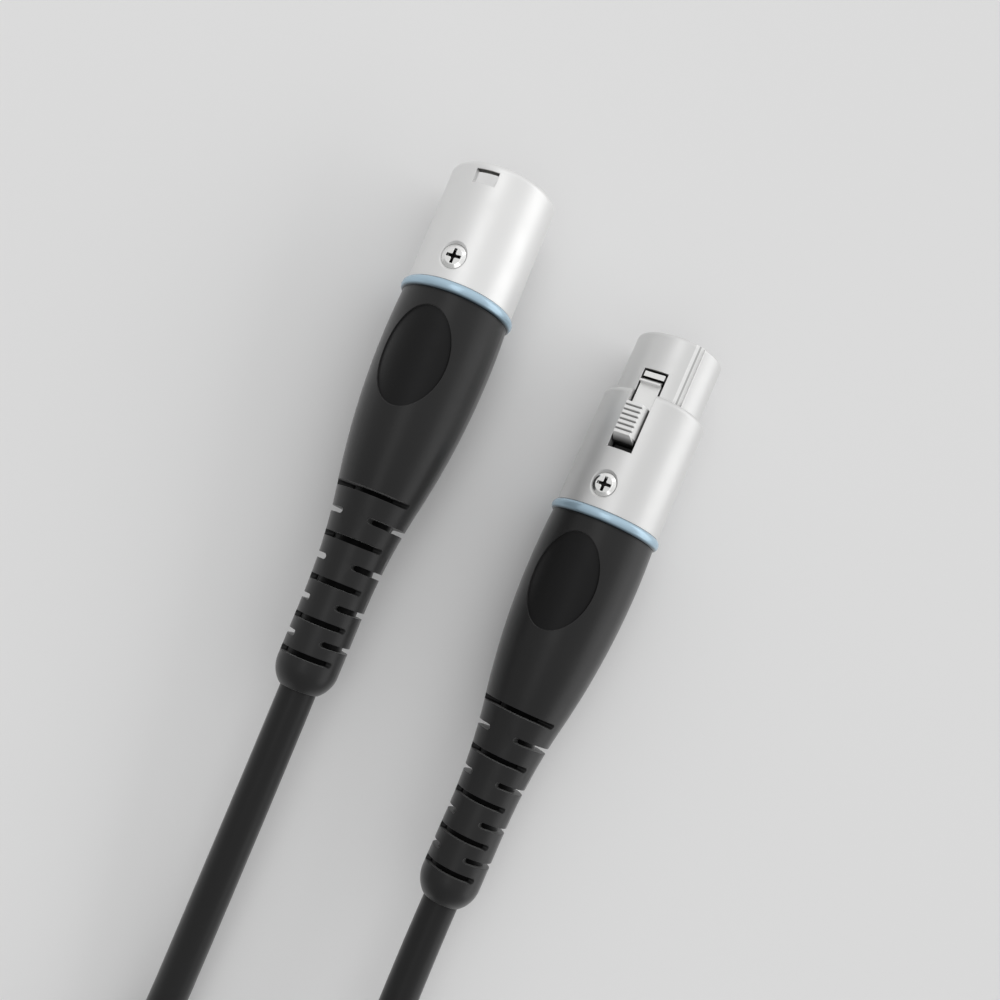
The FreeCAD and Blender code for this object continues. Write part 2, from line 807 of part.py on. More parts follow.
def connector(prefix, angles, core_names):
    """Every piece of one connector, laid where the connector lies."""
    place = lie(prefix)
    male = prefix == "male"
    keep(f"{prefix}_shell", male_shell() if male else female_shell(), place)
    keep(f"{prefix}_insert", male_insert() if male else female_insert(), place)
    contact = "pin" if male else "socket"
    for number, angle in enumerate(angles, start=1):
        turned = FreeCAD.Rotation(VECTOR(0, 1, 0), 90 - angle)
        spot = FreeCAD.Placement(contact_place(angle), turned)
        keep(f"{prefix}_{contact}_{number}", pin() if male else socket(), place.multiply(spot))
    keep(f"{prefix}_ground_tag", ground_tag(), place)
    keep(f"{prefix}_screw", screw(), place)
    keep(f"{prefix}_accent_ring", accent_ring(), place)
    keep(f"{prefix}_boot", boot(prefix), place)
    keep(f"{prefix}_cable_clamp", cable_clamp(), place)
    jacket = cylinder("cable_radius", "boot_length - jacket_start", (0, "-boot_length", 0), AHEAD)
    keep(f"{prefix}_cable_end", jacket, place.multiply(jacket.Placement))
    for name, angle in zip(core_names, angles):
        wire, _ = rounded_route(core_route(angle))
        shape_feature(f"{prefix}_{name}", tube(wire, value("core_radius")), place)


# latch


def latch_lever():
    """The latch: an eye on the pivot pin, a ribbed pad to press, and a plate with the locking tooth."""
    body = new_body("latch_lever_form")
    ribs = int(value("rib_count"))
    pitch = f"( pad_front - pad_rear - rib_land ) / {ribs - 1}"
    corners = [
        ("pivot_at", "pivot_height - eye_radius"),
        ("pivot_at + 2", "pad_foot"),
        ("pad_front", "pad_foot + 0.3"),
        ("pad_front + 0.5", "plate_foot"),
        ("opening_front - latch_slit", "plate_foot"),
        ("opening_front - latch_slit", "plate_top"),
        ("tooth_rear + tooth_land + tooth_ramp + fit_gap", "plate_top"),
        ("tooth_rear + tooth_land + tooth_ramp", "plate_top - tooth_groove"),
        ("tooth_rear + tooth_land", "plate_top + tooth_height"),
        ("tooth_rear", "plate_top + tooth_height"),
        ("tooth_rear", "plate_top"),
        ("pad_front + 0.2", "plate_top"),
    ]
    for rib in range(ribs):
        front = f"pad_front - {rib} * {pitch}"
        corners += [(front, "pad_top"), (f"{front} - rib_land", "pad_top")]
        if rib < ribs - 1:
            corners.append((f"{front} - rib_land - 0.15", "pad_top - rib_depth"))
    corners += [
        ("pad_rear - 0.9", "shell_radius - 0.8"),
        ("pad_rear - 1.05", "pivot_height + eye_radius + 0.15"),
        ("pivot_at", "pivot_height + eye_radius", "eye_radius * 1.0001", 1),
    ]
    side = new_sketch(body, "YZ_Plane")
    outline(side, corners)
    circle(side, "pivot_at", "pivot_height", "pivot_radius + fit_gap")
    pad(body, side, "latch_width")
    foot = "plate_top + tooth_height + fit_gap"
    sides = new_sketch(body, "XZ_Plane")
    for way in ("", "-"):
        outline(sides, [
            (f"{way}latch_width / 2", foot),
            (f"{way}latch_width / 2 {way or '+'} 1", foot),
            (f"{way}latch_width / 2 {way or '+'} 1", "pad_top + 1"),
            (f"{way}latch_width / 2 {'+' if way else '-'} pad_taper", "pad_top + 1"),
        ])
    pocket(body, sides, "2 * opening_front")
    return body


def latch_spring():
    """A leaf spring that lies in the insulator's relief and holds the lever up."""
    body = new_body("latch_spring_leaf")
    floor = "relief_floor + fit_gap"
    lifted = "pad_foot + 0.2 - leaf_thickness"
    leaf = new_sketch(body, "YZ_Plane")
    outline(leaf, [
        ("pivot_at + 2.2", floor), ("pad_rear + 1.6", floor), ("pad_front - 0.5", lifted),
        ("pad_front - 0.5", f"{lifted} + leaf_thickness"),
        ("pad_rear + 1.6", f"{floor} + leaf_thickness"), ("pivot_at + 2.2", f"{floor} + leaf_thickness"),
    ])
    pad(body, leaf, "leaf_width")
    return body


def latch():
    place = lie("female")
    keep("latch_lever", latch_lever(), place)
    keep("latch_spring", latch_spring(), place)
    reach = "( spigot_bore ^ 2 - ( pivot_height + pivot_radius ) ^ 2 ) ^ 0.5 - fit_gap"
    pivot = cylinder("pivot_radius", f"2 * ( {reach} )",
                     (f"0 - ( {reach} )", "pivot_at", "pivot_height"), VECTOR(1, 0, 0))
    keep("latch_pin", pivot, place.multiply(pivot.Placement))


# cable between the connectors


def tail_of(prefix, back=0.0):
    """A point on a connector's axis, back mm behind its boot's tail."""
    return lie(prefix).multVec(VECTOR(0, -value("boot_length") - back, 0))


def layer_height(layer):
    return value("coil_lift") + value("cable_radius") + layer * value("coil_pitch")


def coil_stations():
    """The coil's centre line as (angle, radius, height) and how steeply it climbs, from its outer start
    at the left to its outer end at the right. Each layer spirals in or out; the half turn after it
    climbs to the next layer while the spiral reverses."""
    pitch = value("coil_pitch")
    turns = value("coil_turns")
    inner = value("coil_inner")
    outer = inner + pitch * turns
    angle = math.pi
    quarters = int(round(turns * 4))
    stations = []
    for layer in range(int(value("coil_layers"))):
        start, way = (outer, -1) if layer % 2 == 0 else (inner, 1)
        for quarter in range(quarters + 1):
            stations.append((angle + quarter * math.pi / 2, start + way * pitch * quarter / 4,
                             layer_height(layer), way, 0.0))
        angle += quarters * math.pi / 2
        if layer < value("coil_layers") - 1:
            reach = start + way * pitch * turns
            stations.append((angle + math.pi / 2, reach + way * pitch / 4,
                             layer_height(layer) + pitch / 2, 0, 1.5 * pitch / math.pi))
            angle += math.pi
    return stations


def coil_wire():
    """The coil as biarcs of a quarter turn, with a straight stub at each end."""
    centre = VECTOR(value("coil_x"), value("coil_y"), 0)
    slope = value("coil_pitch") / (2 * math.pi)
    points, headings = [], []
    stations = coil_stations()
    for number, (angle, radius, height, way, climb) in enumerate(stations):
        across = VECTOR(math.cos(angle), math.sin(angle), 0)
        along = VECTOR(-math.sin(angle), math.cos(angle), 0)
        end = number in (0, len(stations) - 1)
        drift = 0 if end else slope * way
        points.append(centre + across * radius + VECTOR(0, 0, height))
        headings.append((along * radius + across * drift + VECTOR(0, 0, climb)).normalize())
    stub = value("coil_stub")
    edges = [Part.LineSegment(points[0] - headings[0] * stub, points[0]).toShape()]
    for start, heading, end, ending in zip(points, headings, points[1:], headings[1:]):
        edges += biarc(start, heading, end, ending)
    edges.append(Part.LineSegment(points[-1], points[-1] + headings[-1] * stub).toShape())
    return Part.Wire(edges)


def least_gap(wire, radius):
    """The least room between one turn and another, measured on points along the centre line."""
    points = wire.discretize(Number=1400)
    step = wire.Length / (len(points) - 1)
    apart = int(6 * radius / step)
    gaps = [
        (here - there).Length
        for index, here in enumerate(points)
        for there in points[index + apart::2]
    ]
    return min(gaps) - 2 * radius


def lead(name, points):
    """One free stretch of the cable, from its coil to its boot, with a check of its bends and volume."""
    radius = value("cable_radius")
    wire, radii = rounded_route(points)
    solid = tube(wire, radius)
    share = solid.Volume / (math.pi * radius**2 * wire.Length)
    print(name, "radii", [round(r, 1) for r in radii], "length", round(wire.Length, 1),
          "volume share", round(share, 4))
    shape_feature(name, solid)
    return wire.Length


def cable():
    """Both leads, the coil between them and the strap that ties it."""
    radius = value("cable_radius")
    stub = value("coil_stub")
    outer = value("coil_inner") + value("coil_pitch") * value("coil_turns")
    low, high = layer_height(0), layer_height(value("coil_layers") - 1)
    coil_in = VECTOR(value("coil_x") - outer, value("coil_y") + stub, low)
    coil_out = VECTOR(value("coil_x") + outer, value("coil_y") + stub, high)
    male_points = [tail_of("male"), tail_of("male", 13.5)]
    male_points += [VECTOR(*p) for p in MALE_ROUTE] + [coil_in]
    female_points = [coil_out] + [VECTOR(*p) for p in FEMALE_ROUTE]
    female_points += [tail_of("female", 11.0), tail_of("female")]
    length = lead("male_lead", male_points) + lead("female_lead", female_points)
    wire = coil_wire()
    solid = tube(wire, radius)
    shape_feature("cable_coil", solid)
    print("coil length", round(wire.Length, 1), "least gap", round(least_gap(wire, radius), 2),
          "volume share", round(solid.Volume / (math.pi * radius**2 * wire.Length), 4))
    print("cable between the boots", round(length + wire.Length, 1))
    keep("coil_tie", coil_tie(), FreeCAD.Placement(VECTOR(value("coil_x"), value("coil_y"), 0),
                                                   FreeCAD.Rotation()))


def coil_tie():
    """A strap round the bundle of turns, at the side of the coil away from the connectors."""
    body = new_body("coil_tie_loop")
    inner = "-coil_inner - coil_pitch * ( coil_turns - 0.25 ) - cable_radius - tie_clearance"
    near = "-coil_inner - coil_pitch / 4 + cable_radius + 3 * tie_clearance"
    low = "coil_lift - tie_clearance"
    high = "coil_lift + coil_pitch * ( coil_layers - 1 ) + 2 * cable_radius + tie_clearance"
    for grow, kind in (("tie_thickness", "Pad"), ("0", "Pocket")):
        loop = new_sketch(body, "YZ_Plane")
        left, right = f"{inner} - {grow}", f"{near} + {grow}"
        bottom, top = f"{low} - {grow}", f"{high} + {grow}"
        bend = f"tie_corner + {grow}"
        outline(loop, [
            (f"{left} + {bend}", bottom),
            (f"{right} - tie_corner - {grow}", bottom, bend, 1),
            (right, f"{bottom} + {bend}"),
            (right, f"{top} - tie_corner - {grow}", bend, 1),
            (f"{right} - tie_corner - {grow}", top),
            (f"{left} + {bend}", top, bend, 1),
            (left, f"{top} - tie_corner - {grow}"),
            (left, f"{bottom} + {bend}", bend, 1),
        ])
        if kind == "Pad":
            pad(body, loop, "tie_width")
        else:
            pocket(body, loop, "tie_width + 2")
    return body


AHEAD = VECTOR(0, 1, 0)
CONTACT_ANGLES = (40, 140, 270)
MALE_ROUTE = (
    (-19.66, -72.0, 8.0),
    (-19.66, -97.0, 5.0),
    (-24.9, -109.98, 4.6),
    (-34.63, -120.05, 4.5),
    (-39.88, -133.03, 4.5),
)
FEMALE_ROUTE = (
    (34.08, -132.63, 24.45),
    (29.02, -117.03, 20.1),
    (19.38, -103.76, 15.3),
    (14.86, -88.0, 11.3),
)

connector("male", (40, 140, 270), ("shield_wire", "hot_wire", "cold_wire"))
connector("female", (140, 40, 270), ("shield_wire", "hot_wire", "cold_wire"))
latch()
cable()
doc.recompute()

broken = [thing.Name for thing in doc.Objects if {"Invalid", "Error"} & set(thing.State)]
if broken:
    raise ValueError(f"objects that failed: {broken}")
os.makedirs("parts", exist_ok=True)
for name, thing in nodes.items():
    if thing.Shape.isNull() or not thing.Shape.isValid() or not thing.Shape.Solids:
        raise ValueError(f"{name} has no valid solid")
    thing.Shape.exportStep(f"parts/{name}.step")
print(len(nodes), "sub-parts written")
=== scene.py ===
"""Microphone cable: two circular connectors, the cable between them in a tied coil, and a pale studio.

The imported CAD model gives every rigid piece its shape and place. This script gives those pieces their
finishes, lays the cable as one smooth curve through the two boots, makes the strap that ties its coil,
and sets the camera, lights and floor. Lengths are in metres.
"""

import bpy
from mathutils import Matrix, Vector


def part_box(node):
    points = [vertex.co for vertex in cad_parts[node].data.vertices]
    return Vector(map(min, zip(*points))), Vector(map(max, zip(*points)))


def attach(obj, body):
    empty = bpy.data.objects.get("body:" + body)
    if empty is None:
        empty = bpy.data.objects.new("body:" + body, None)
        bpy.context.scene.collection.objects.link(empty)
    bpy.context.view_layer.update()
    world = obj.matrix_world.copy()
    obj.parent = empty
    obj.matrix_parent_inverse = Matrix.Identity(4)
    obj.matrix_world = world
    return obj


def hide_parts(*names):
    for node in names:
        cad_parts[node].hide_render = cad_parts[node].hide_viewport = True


bl_info = {
    "name": "Microphone Cable",
    "version": (1, 0, 0),
    "blender": (4, 5, 0),
    "location": "3D View > Sidebar > Microphone Cable",
    "description": "Finishes, cable, strap and studio for a cable with two circular connectors",
    "category": "Add Mesh",
}

import math

import bpy
import bmesh
from bpy.props import FloatProperty, FloatVectorProperty, IntProperty, PointerProperty
from mathutils import Matrix, Vector

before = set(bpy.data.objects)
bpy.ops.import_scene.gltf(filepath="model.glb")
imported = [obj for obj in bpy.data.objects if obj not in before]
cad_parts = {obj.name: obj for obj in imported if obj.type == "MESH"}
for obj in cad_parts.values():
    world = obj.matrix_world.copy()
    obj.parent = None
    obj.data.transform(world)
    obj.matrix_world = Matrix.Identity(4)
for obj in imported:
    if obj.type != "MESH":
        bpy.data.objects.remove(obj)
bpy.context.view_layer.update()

CABLE_BODY = "cable"
MM = 0.001

# The cable's free stretches, in millimetres as in the CAD: from the male boot to the coil, and from the
# coil to the female boot.
MALE_LEAD = (
    (-19.66, -33.56, 10.15),
    (-19.66, -47.06, 10.15),
    (-19.66, -72.0, 8.0),
    (-19.66, -97.0, 5.0),
    (-24.9, -109.98, 4.6),
    (-34.63, -120.05, 4.5),
    (-39.88, -133.03, 4.5),
    (-39.88, -147.0, 4.5),
)
FEMALE_LEAD = (
    (34.08, -147.0, 24.45),
    (34.08, -132.63, 24.45),
    (29.02, -117.03, 20.1),
    (19.38, -103.76, 15.3),
    (14.86, -88.0, 11.3),
    (15.43, -69.07, 10.15),
    (15.96, -58.08, 10.15),
)

# The place and turn of each connector's own axes, as in the CAD. Y runs forward along the connector from
# the front of its boot, and Z goes up through its screw and latch.
MALE_PLACE = ((-0.01966, 0.03474, 0.01015), (0.0, -math.radians(28.5), 0.0))
FEMALE_PLACE = ((0.01924, 0.01014, 0.01015), (0.0, -math.radians(36.5), -math.radians(2.75)))
CONNECTORS = (("male", MALE_PLACE), ("female", FEMALE_PLACE))
ROUND_AXIS = (1.0, 0.0, 1.0)
FROM_ABOVE = (1.0, 1.0, 0.0)

# Places on those axes: the boot's oval and the core under its slots, the screw, the front wall of the male
# shell's window, the keyway's turn round the nose, and the middle and pitch of the latch pad's grooves.
OVAL_AT = -0.0116
OVAL_SIZE = (0.0115, 0.0176)
CORE_RADIUS = 0.00415
SCREW_AT = 0.0062
WINDOW_WALL = 0.0219
KEY_ANGLE = math.radians(41.0)
GROOVE_AT = 0.02015
GROOVE_PITCH = 0.0008917

# Soft limits of the marks there: each pair is where a mask is 0 and where it is full. OVAL_RIM bounds the
# boot's oval panel, a finish of its own, and UPPER_SIDE keeps that panel and the keyway's marks on top.
# KEYWAY_SIDE bounds a painted highlight on the keyway, NOSE_BACK bounds both keyway marks along the nose,
# and all the other pairs bound painted shade.
UPPER_SIDE = (0.0, 0.001)
OVAL_RIM = (1.0, 0.98)
BOOT_SEAM_SHADE = (-0.0004, -0.00005)
CORE_SIDE = (CORE_RADIUS + 0.0004, CORE_RADIUS + 0.00015)
SLOTS_FRONT = (-0.0334, -0.0336)
SLOTS_BACK = (-0.0645, -0.0643)
RING_BACK = (0.0005, 0.0001)
RING_FRONT = (0.0017, 0.00195)
WALL_FACE = (0.00005, 0.00002)
WALL_EDGE = (0.0094, 0.0092)
NOSE_BACK = (0.02395, 0.02405)
KEYWAY_SIDE = (0.00105, 0.0009)
KEYWAY_LINE = (0.00022, 0.00012)
RECESS_SIDE = (0.00125, 0.0012)
RECESS_TOP = (0.00932, 0.0091)
BEHIND_PAD = (0.01505, 0.01495)
BEHIND_PAD_TOP = (0.0108, 0.0088)
LEVER_SIDE_TOP = (0.0079, 0.0076)
LEVER_SIDE_FRONT = (0.0212, 0.0209)
TOOTH_BACK = (0.0259, 0.02596)
TOOTH_FRONT = (0.02699, 0.02694)
TOOTH_TOP = (0.0088, 0.0076)
GROOVE_SIDE = (0.00028, 0.00008)
PAD_TOP = (0.0109, 0.0111)
PAD_BACK = (0.0153, 0.01545)
PAD_FRONT = (0.0204, 0.02025)

# Colours that have no setting of their own. The female shell's nickel is the male one's times FEMALE_SHADE,
# a painted shade, and an edge is lighter than its surface by at least EDGE_LIFT, as polish and a painted
# highlight.
LATCH_COLOR = (0.92, 0.92, 0.91)
SCREW_COLOR = (0.88, 0.88, 0.87)
STEEL_COLOR = (0.55, 0.55, 0.54)
SILVER_COLOR = (0.86, 0.84, 0.79)
COPPER_COLOR = (0.8, 0.4, 0.22)
INSERT_COLOR = (0.012, 0.012, 0.013)
CORE_RED = (0.5, 0.02, 0.02)
CORE_WHITE = (0.75, 0.75, 0.72)
STRAP_COLOR = (0.016, 0.016, 0.017)
FEMALE_SHADE = 0.88
EDGE_LIFT = 0.003

# What boots and jacket set on the shader's own sockets, and how much rougher the boot's oval is.
BOOT_SHINE = {"Specular IOR Level": 0.25, "Sheen Weight": 0.2}
JACKET_SHINE = {"Specular IOR Level": 0.13, "Sheen Weight": 0.25}
OVAL_ROUGHER = 0.12

# The strap lies STRAP_SNUG further in than the wall of the tie in the CAD. Its bends have a radius of
# STRAP_BEND, in BEND_STEPS steps, and its section's corners are cut by STRAP_CORNER. Its end lies over its
# start by LAP_LIFT of its thickness, from LAP_RISE of the way over the top, and its cross threads stop
# THREAD_INSET short of its width.
STRAP_WALL = 0.001
STRAP_SNUG = 0.0004
STRAP_BEND = 0.003
BEND_STEPS = 8
STRAP_CORNER = 0.0002
LAP_LIFT = 1.05
LAP_RISE = 0.2
THREAD_INSET = 0.0006
WEAVE_SCALE = 320.0

# The sky is brightest towards SKY_SIDE, by SKY_BRIGHT, and dimmest away from it, by SKY_DIM, where the
# direction's share of SKY_SIDE is SKY_AWAY or less. The camera sees a plain backdrop instead, which goes
# from HORIZON_LEVEL to BACKDROP_LEVEL while its direction rises to BACKDROP_RISE.
SKY_SIDE = (0.0, 0.8, 0.6)
SKY_AWAY = -0.7
SKY_DIM = 0.3
SKY_BRIGHT = 1.45
HORIZON_LEVEL = 0.55
BACKDROP_LEVEL = 0.75
BACKDROP_RISE = 0.35

# The floor, and the place and size of each lamp. Both lamps face the origin.
FLOOR_HALF = 8.0
FLOOR_COLOR = (0.8, 0.8, 0.8)
FLOOR_ROUGHNESS = 0.9
KEY_LAMP = ((2.16, 0.32, 0.76), (1.6, 4.4))
FILL_LAMP = ((-0.2, 0.12, 0.5), (0.2, 0.8))

# Where the photograph was taken from.
CAMERA_PLACE = (-0.0353, -0.0112, 0.1733)
CAMERA_AIM = (0.00216, 0.0092, 0.0)
CAMERA_UP = (-0.3837, 0.9231, 0.0256)
CAMERA_LENS = 35.06
SENSOR_WIDTH = 36.0
CLIP_START = 0.001

# A Mix node's sockets by number, because several of them share a name.
FLOAT_A, FLOAT_B, FLOAT_RESULT = 2, 3, 0
COLOR_A, COLOR_B, COLOR_RESULT = 6, 7, 2


# ---- settings


class CableSettings(bpy.types.PropertyGroup):
    """Sizes of the cable and of its coil."""

    diameter: FloatProperty(name="Diameter", description="Outside of the jacket", default=0.0062,
                            min=0.002, subtype="DISTANCE", unit="LENGTH")
    length: FloatProperty(name="Length", description="From boot to boot", default=1.71, min=0.3,
                          subtype="DISTANCE", unit="LENGTH")
    coil_inner: FloatProperty(name="Inner turn", description="Radius of the coil's innermost turn",
                              default=0.027, min=0.01, subtype="DISTANCE", unit="LENGTH")
    coil_pitch: FloatProperty(name="Pitch", description="From one turn to the next, across and up",
                              default=0.00665, min=0.002, subtype="DISTANCE", unit="LENGTH")
    coil_bottom: FloatProperty(name="Bottom turn", description="Height of the lowest turn's middle",
                               default=0.0045, min=0.0, subtype="DISTANCE", unit="LENGTH")
    layer_turns: FloatProperty(name="Turns in a layer", description="Before the cable climbs a layer",
                               default=1.5, min=0.5)
    layers: IntProperty(name="Layers", description="Layers of turns", default=4, min=1)
    turn_points: IntProperty(name="Points in a turn", description="Control points that shape one turn",
                             default=16, min=12)


class StrapSettings(bpy.types.PropertyGroup):
    """Sizes of the woven strap that ties the coil."""

    width: FloatProperty(name="Width", description="Of the woven band", default=0.012, min=0.004,
                         subtype="DISTANCE", unit="LENGTH")
    thickness: FloatProperty(name="Thickness", description="Of the woven band", default=0.0007, min=0.0003,
                             subtype="DISTANCE", unit="LENGTH")
    rib_spacing: FloatProperty(name="Rib spacing", description="From one cross thread to the next",
                               default=0.0009, min=0.0004, subtype="DISTANCE", unit="LENGTH")


class FinishSettings(bpy.types.PropertyGroup):
    """Colours of the finishes."""

    nickel: FloatVectorProperty(name="Nickel", description="Satin plate of the shells",
                                default=(0.8, 0.8, 0.795), subtype="COLOR", min=0, max=1)
    ring: FloatVectorProperty(name="Ring", description="Coloured ring between shell and boot",
                              default=(0.42, 0.57, 0.68), subtype="COLOR", min=0, max=1)
    rubber: FloatVectorProperty(name="Rubber", description="Boots",
                                default=(0.0105, 0.0105, 0.0107), subtype="COLOR", min=0, max=1)
    jacket: FloatVectorProperty(name="Jacket", description="Outside of the cable",
                                default=(0.012, 0.012, 0.0122), subtype="COLOR", min=0, max=1)


class StudioSettings(bpy.types.PropertyGroup):
    """The camera's lens and the strength of the lights."""

    lens: FloatProperty(name="Lens", description="Focal length on a 36 mm sensor", default=CAMERA_LENS,
                        min=10, subtype="DISTANCE_CAMERA")
    key_power: FloatProperty(name="Key light", description="Power of the large light at the right",
                             default=24.0, min=0, subtype="POWER")
    fill_power: FloatProperty(name="Fill light", description="Power of the long light at the left",
                              default=0.43, min=0, subtype="POWER")
    sky: FloatProperty(name="Sky", description="Strength of the light from all round", default=0.66,
                       min=0)


# ---- object and node helpers


def add_object(name, data):
    """A new object with these data, linked to the scene."""
    made = bpy.data.objects.new(name, data)
    bpy.context.collection.objects.link(made)
    return made


def new_material(name):
    """An empty node material with its Principled shader and output."""
    material = bpy.data.materials.new(name)
    material.use_nodes = True
    nodes = material.node_tree.nodes
    nodes.clear()
    output = nodes.new("ShaderNodeOutputMaterial")
    shader = nodes.new("ShaderNodeBsdfPrincipled")
    material.node_tree.links.new(shader.outputs["BSDF"], output.inputs["Surface"])
    return material, shader


def shader_of(tree):
    """A material's Principled shader."""
    return next(part for part in tree.nodes if part.type == "BSDF_PRINCIPLED")


def node(tree, kind, inputs=None, **settings):
    """A node with its settings; each input is a value or another node's output."""
    made = tree.nodes.new(kind)
    for key, setting in settings.items():
        setattr(made, key, setting)
    for key, given in (inputs or {}).items():
        if isinstance(given, bpy.types.NodeSocket):
            tree.links.new(given, made.inputs[key])
        else:
            made.inputs[key].default_value = given
    return made


def calc(tree, operation, *given):
    """What a Math node makes of numbers or other nodes' outputs."""
    return node(tree, "ShaderNodeMath", dict(enumerate(given)), operation=operation).outputs[0]


def vector_calc(tree, operation, *given):
    """What a Vector Math node makes of vectors: a number for a length or dot product, or else a vector."""
    made = node(tree, "ShaderNodeVectorMath", dict(enumerate(given)), operation=operation)
    return made.outputs["Value" if operation in ("LENGTH", "DOT_PRODUCT") else "Vector"]


def product(tree, *factors):
    """All the factors multiplied together."""
    total = factors[0]
    for factor in factors[1:]:
        total = calc(tree, "MULTIPLY", total, factor)
    return total


def ramp(tree, given, zero, full):
    """0 where a value is at zero, 1 where it is at full, even in between and held outside."""
    return node(tree, "ShaderNodeMapRange", {"Value": given, "From Min": zero, "From Max": full}).outputs[0]


def mix_colors(tree, share, first, second, **settings):
    """The first colour where share is 0 and the second where it is 1, or blended as settings say."""
    mixed = node(tree, "ShaderNodeMix", {"Factor": share, COLOR_A: first, COLOR_B: second},
                 data_type="RGBA", **settings)
    return mixed.outputs[COLOR_RESULT]


def scaled_color(color, factor):
    """A colour with its three parts multiplied, and its alpha."""
    return (*(part * factor for part in color), 1.0)


def bump(tree, height, distance, strength, base=None):
    """A normal that follows a height, on top of another normal where base gives one."""
    inputs = {"Height": height, "Distance": distance, "Strength": strength}
    if base is not None:
        inputs["Normal"] = base
    return node(tree, "ShaderNodeBump", inputs).outputs["Normal"]


def rounded_normal(tree, radius):
    """A normal that rounds sharp edges by radius."""
    return node(tree, "ShaderNodeBevel", {"Radius": radius}, samples=6).outputs["Normal"]


def object_place(tree):
    """Where a surface point is, on the object's coordinates."""
    return node(tree, "ShaderNodeTexCoord").outputs["Object"]


def own_axes(tree, place, turn):
    """Where a surface point is on a connector's own axes: all three, then along it and up from it."""
    local = node(tree, "ShaderNodeMapping", {
        "Vector": object_place(tree), "Location": place, "Rotation": turn},
        vector_type="TEXTURE").outputs[0]
    split = node(tree, "ShaderNodeSeparateXYZ", {"Vector": local})
    return local, split.outputs["Y"], split.outputs["Z"]


def spread(tree, local, weights, along=0.0):
    """How far a point is from the connector's axis at along, each direction multiplied by its weight."""
    offset = vector_calc(tree, "SUBTRACT", local, (0.0, along, 0.0))
    return vector_calc(tree, "LENGTH", vector_calc(tree, "MULTIPLY", offset, weights))


def new_group(name, inputs, outputs):
    """A shader node group with float inputs {name: default} and outputs {name: socket type}."""
    group = bpy.data.node_groups.new(name, "ShaderNodeTree")
    for key, default in inputs.items():
        socket = group.interface.new_socket(key, in_out="INPUT", socket_type="NodeSocketFloat")
        socket.default_value = default
    for key, kind in outputs.items():
        group.interface.new_socket(key, in_out="OUTPUT", socket_type=kind)
    return group, group.nodes.new("NodeGroupInput"), group.nodes.new("NodeGroupOutput")


def place_group(tree, name, values):
    """A placed copy of a node group, with its inputs set."""
    return node(tree, "ShaderNodeGroup", values, node_tree=bpy.data.node_groups[name])


# ---- shared effects


def grain_group():
    """Fine grain of plating, rubber and moulded plastic: a height, and a patchy roughness."""
    group, given, result = new_group(
        "Grain",
        {"Size": 0.0003, "Patch Size": 0.01, "Low": 0.3, "High": 0.4},
        {"Height": "NodeSocketFloat", "Roughness": "NodeSocketFloat"},
    )
    place = object_place(group)
    fine, coarse = (calc(group, "DIVIDE", 1.0, given.outputs[size]) for size in ("Size", "Patch Size"))
    grain = node(group, "ShaderNodeTexNoise", {"Vector": place, "Scale": fine, "Detail": 2.0})
    patch = node(group, "ShaderNodeTexNoise",
                 {"Vector": place, "Scale": coarse, "Detail": 3.0, "Roughness": 0.6})
    rough = node(group, "ShaderNodeMapRange", {
        "Value": patch.outputs["Fac"], "From Min": 0.3, "From Max": 0.7,
        "To Min": given.outputs["Low"], "To Max": given.outputs["High"]})
    group.links.new(grain.outputs["Fac"], result.inputs["Height"])
    group.links.new(rough.outputs["Result"], result.inputs["Roughness"])


def wear_and_shade_group():
    """Edges, faint finger smudges and narrow gaps: a mask for each. Edges get polish and a painted
    highlight, and narrow gaps get painted shade.
    """
    group, given, result = new_group(
        "Handling And Shade",
        {"Edge Width": 0.0003, "Smudge Size": 0.004, "Smudge Amount": 0.1, "Gap Width": 0.001},
        {"Edge": "NodeSocketFloat", "Smudge": "NodeSocketFloat", "Gap": "NodeSocketFloat"},
    )
    # Edges, where the rounded normal leaves the plain one: polish and a painted highlight lighten them.
    rounded = node(group, "ShaderNodeBevel", {"Radius": given.outputs["Edge Width"]}, samples=4)
    plain = node(group, "ShaderNodeNewGeometry").outputs["Normal"]
    same = vector_calc(group, "DOT_PRODUCT", rounded.outputs["Normal"], plain)
    film = node(group, "ShaderNodeTexNoise", {
        "Vector": object_place(group), "Detail": 3.0, "Distortion": 0.6,
        "Scale": calc(group, "DIVIDE", 1.0, given.outputs["Smudge Size"])})
    smudge = node(group, "ShaderNodeMapRange", {
        "Value": film.outputs["Fac"], "From Min": 0.5, "From Max": 0.7,
        "To Min": 0.0, "To Max": given.outputs["Smudge Amount"]})
    # Painted shade: ambient occlusion finds narrow gaps, and the base colour is darkened there.
    nook = node(group, "ShaderNodeAmbientOcclusion", {"Distance": given.outputs["Gap Width"]}, samples=8)
    group.links.new(ramp(group, same, 0.98, 0.7), result.inputs["Edge"])
    group.links.new(smudge.outputs["Result"], result.inputs["Smudge"])
    group.links.new(ramp(group, nook.outputs["AO"], 0.62, 0.12), result.inputs["Gap"])


# ---- finishes


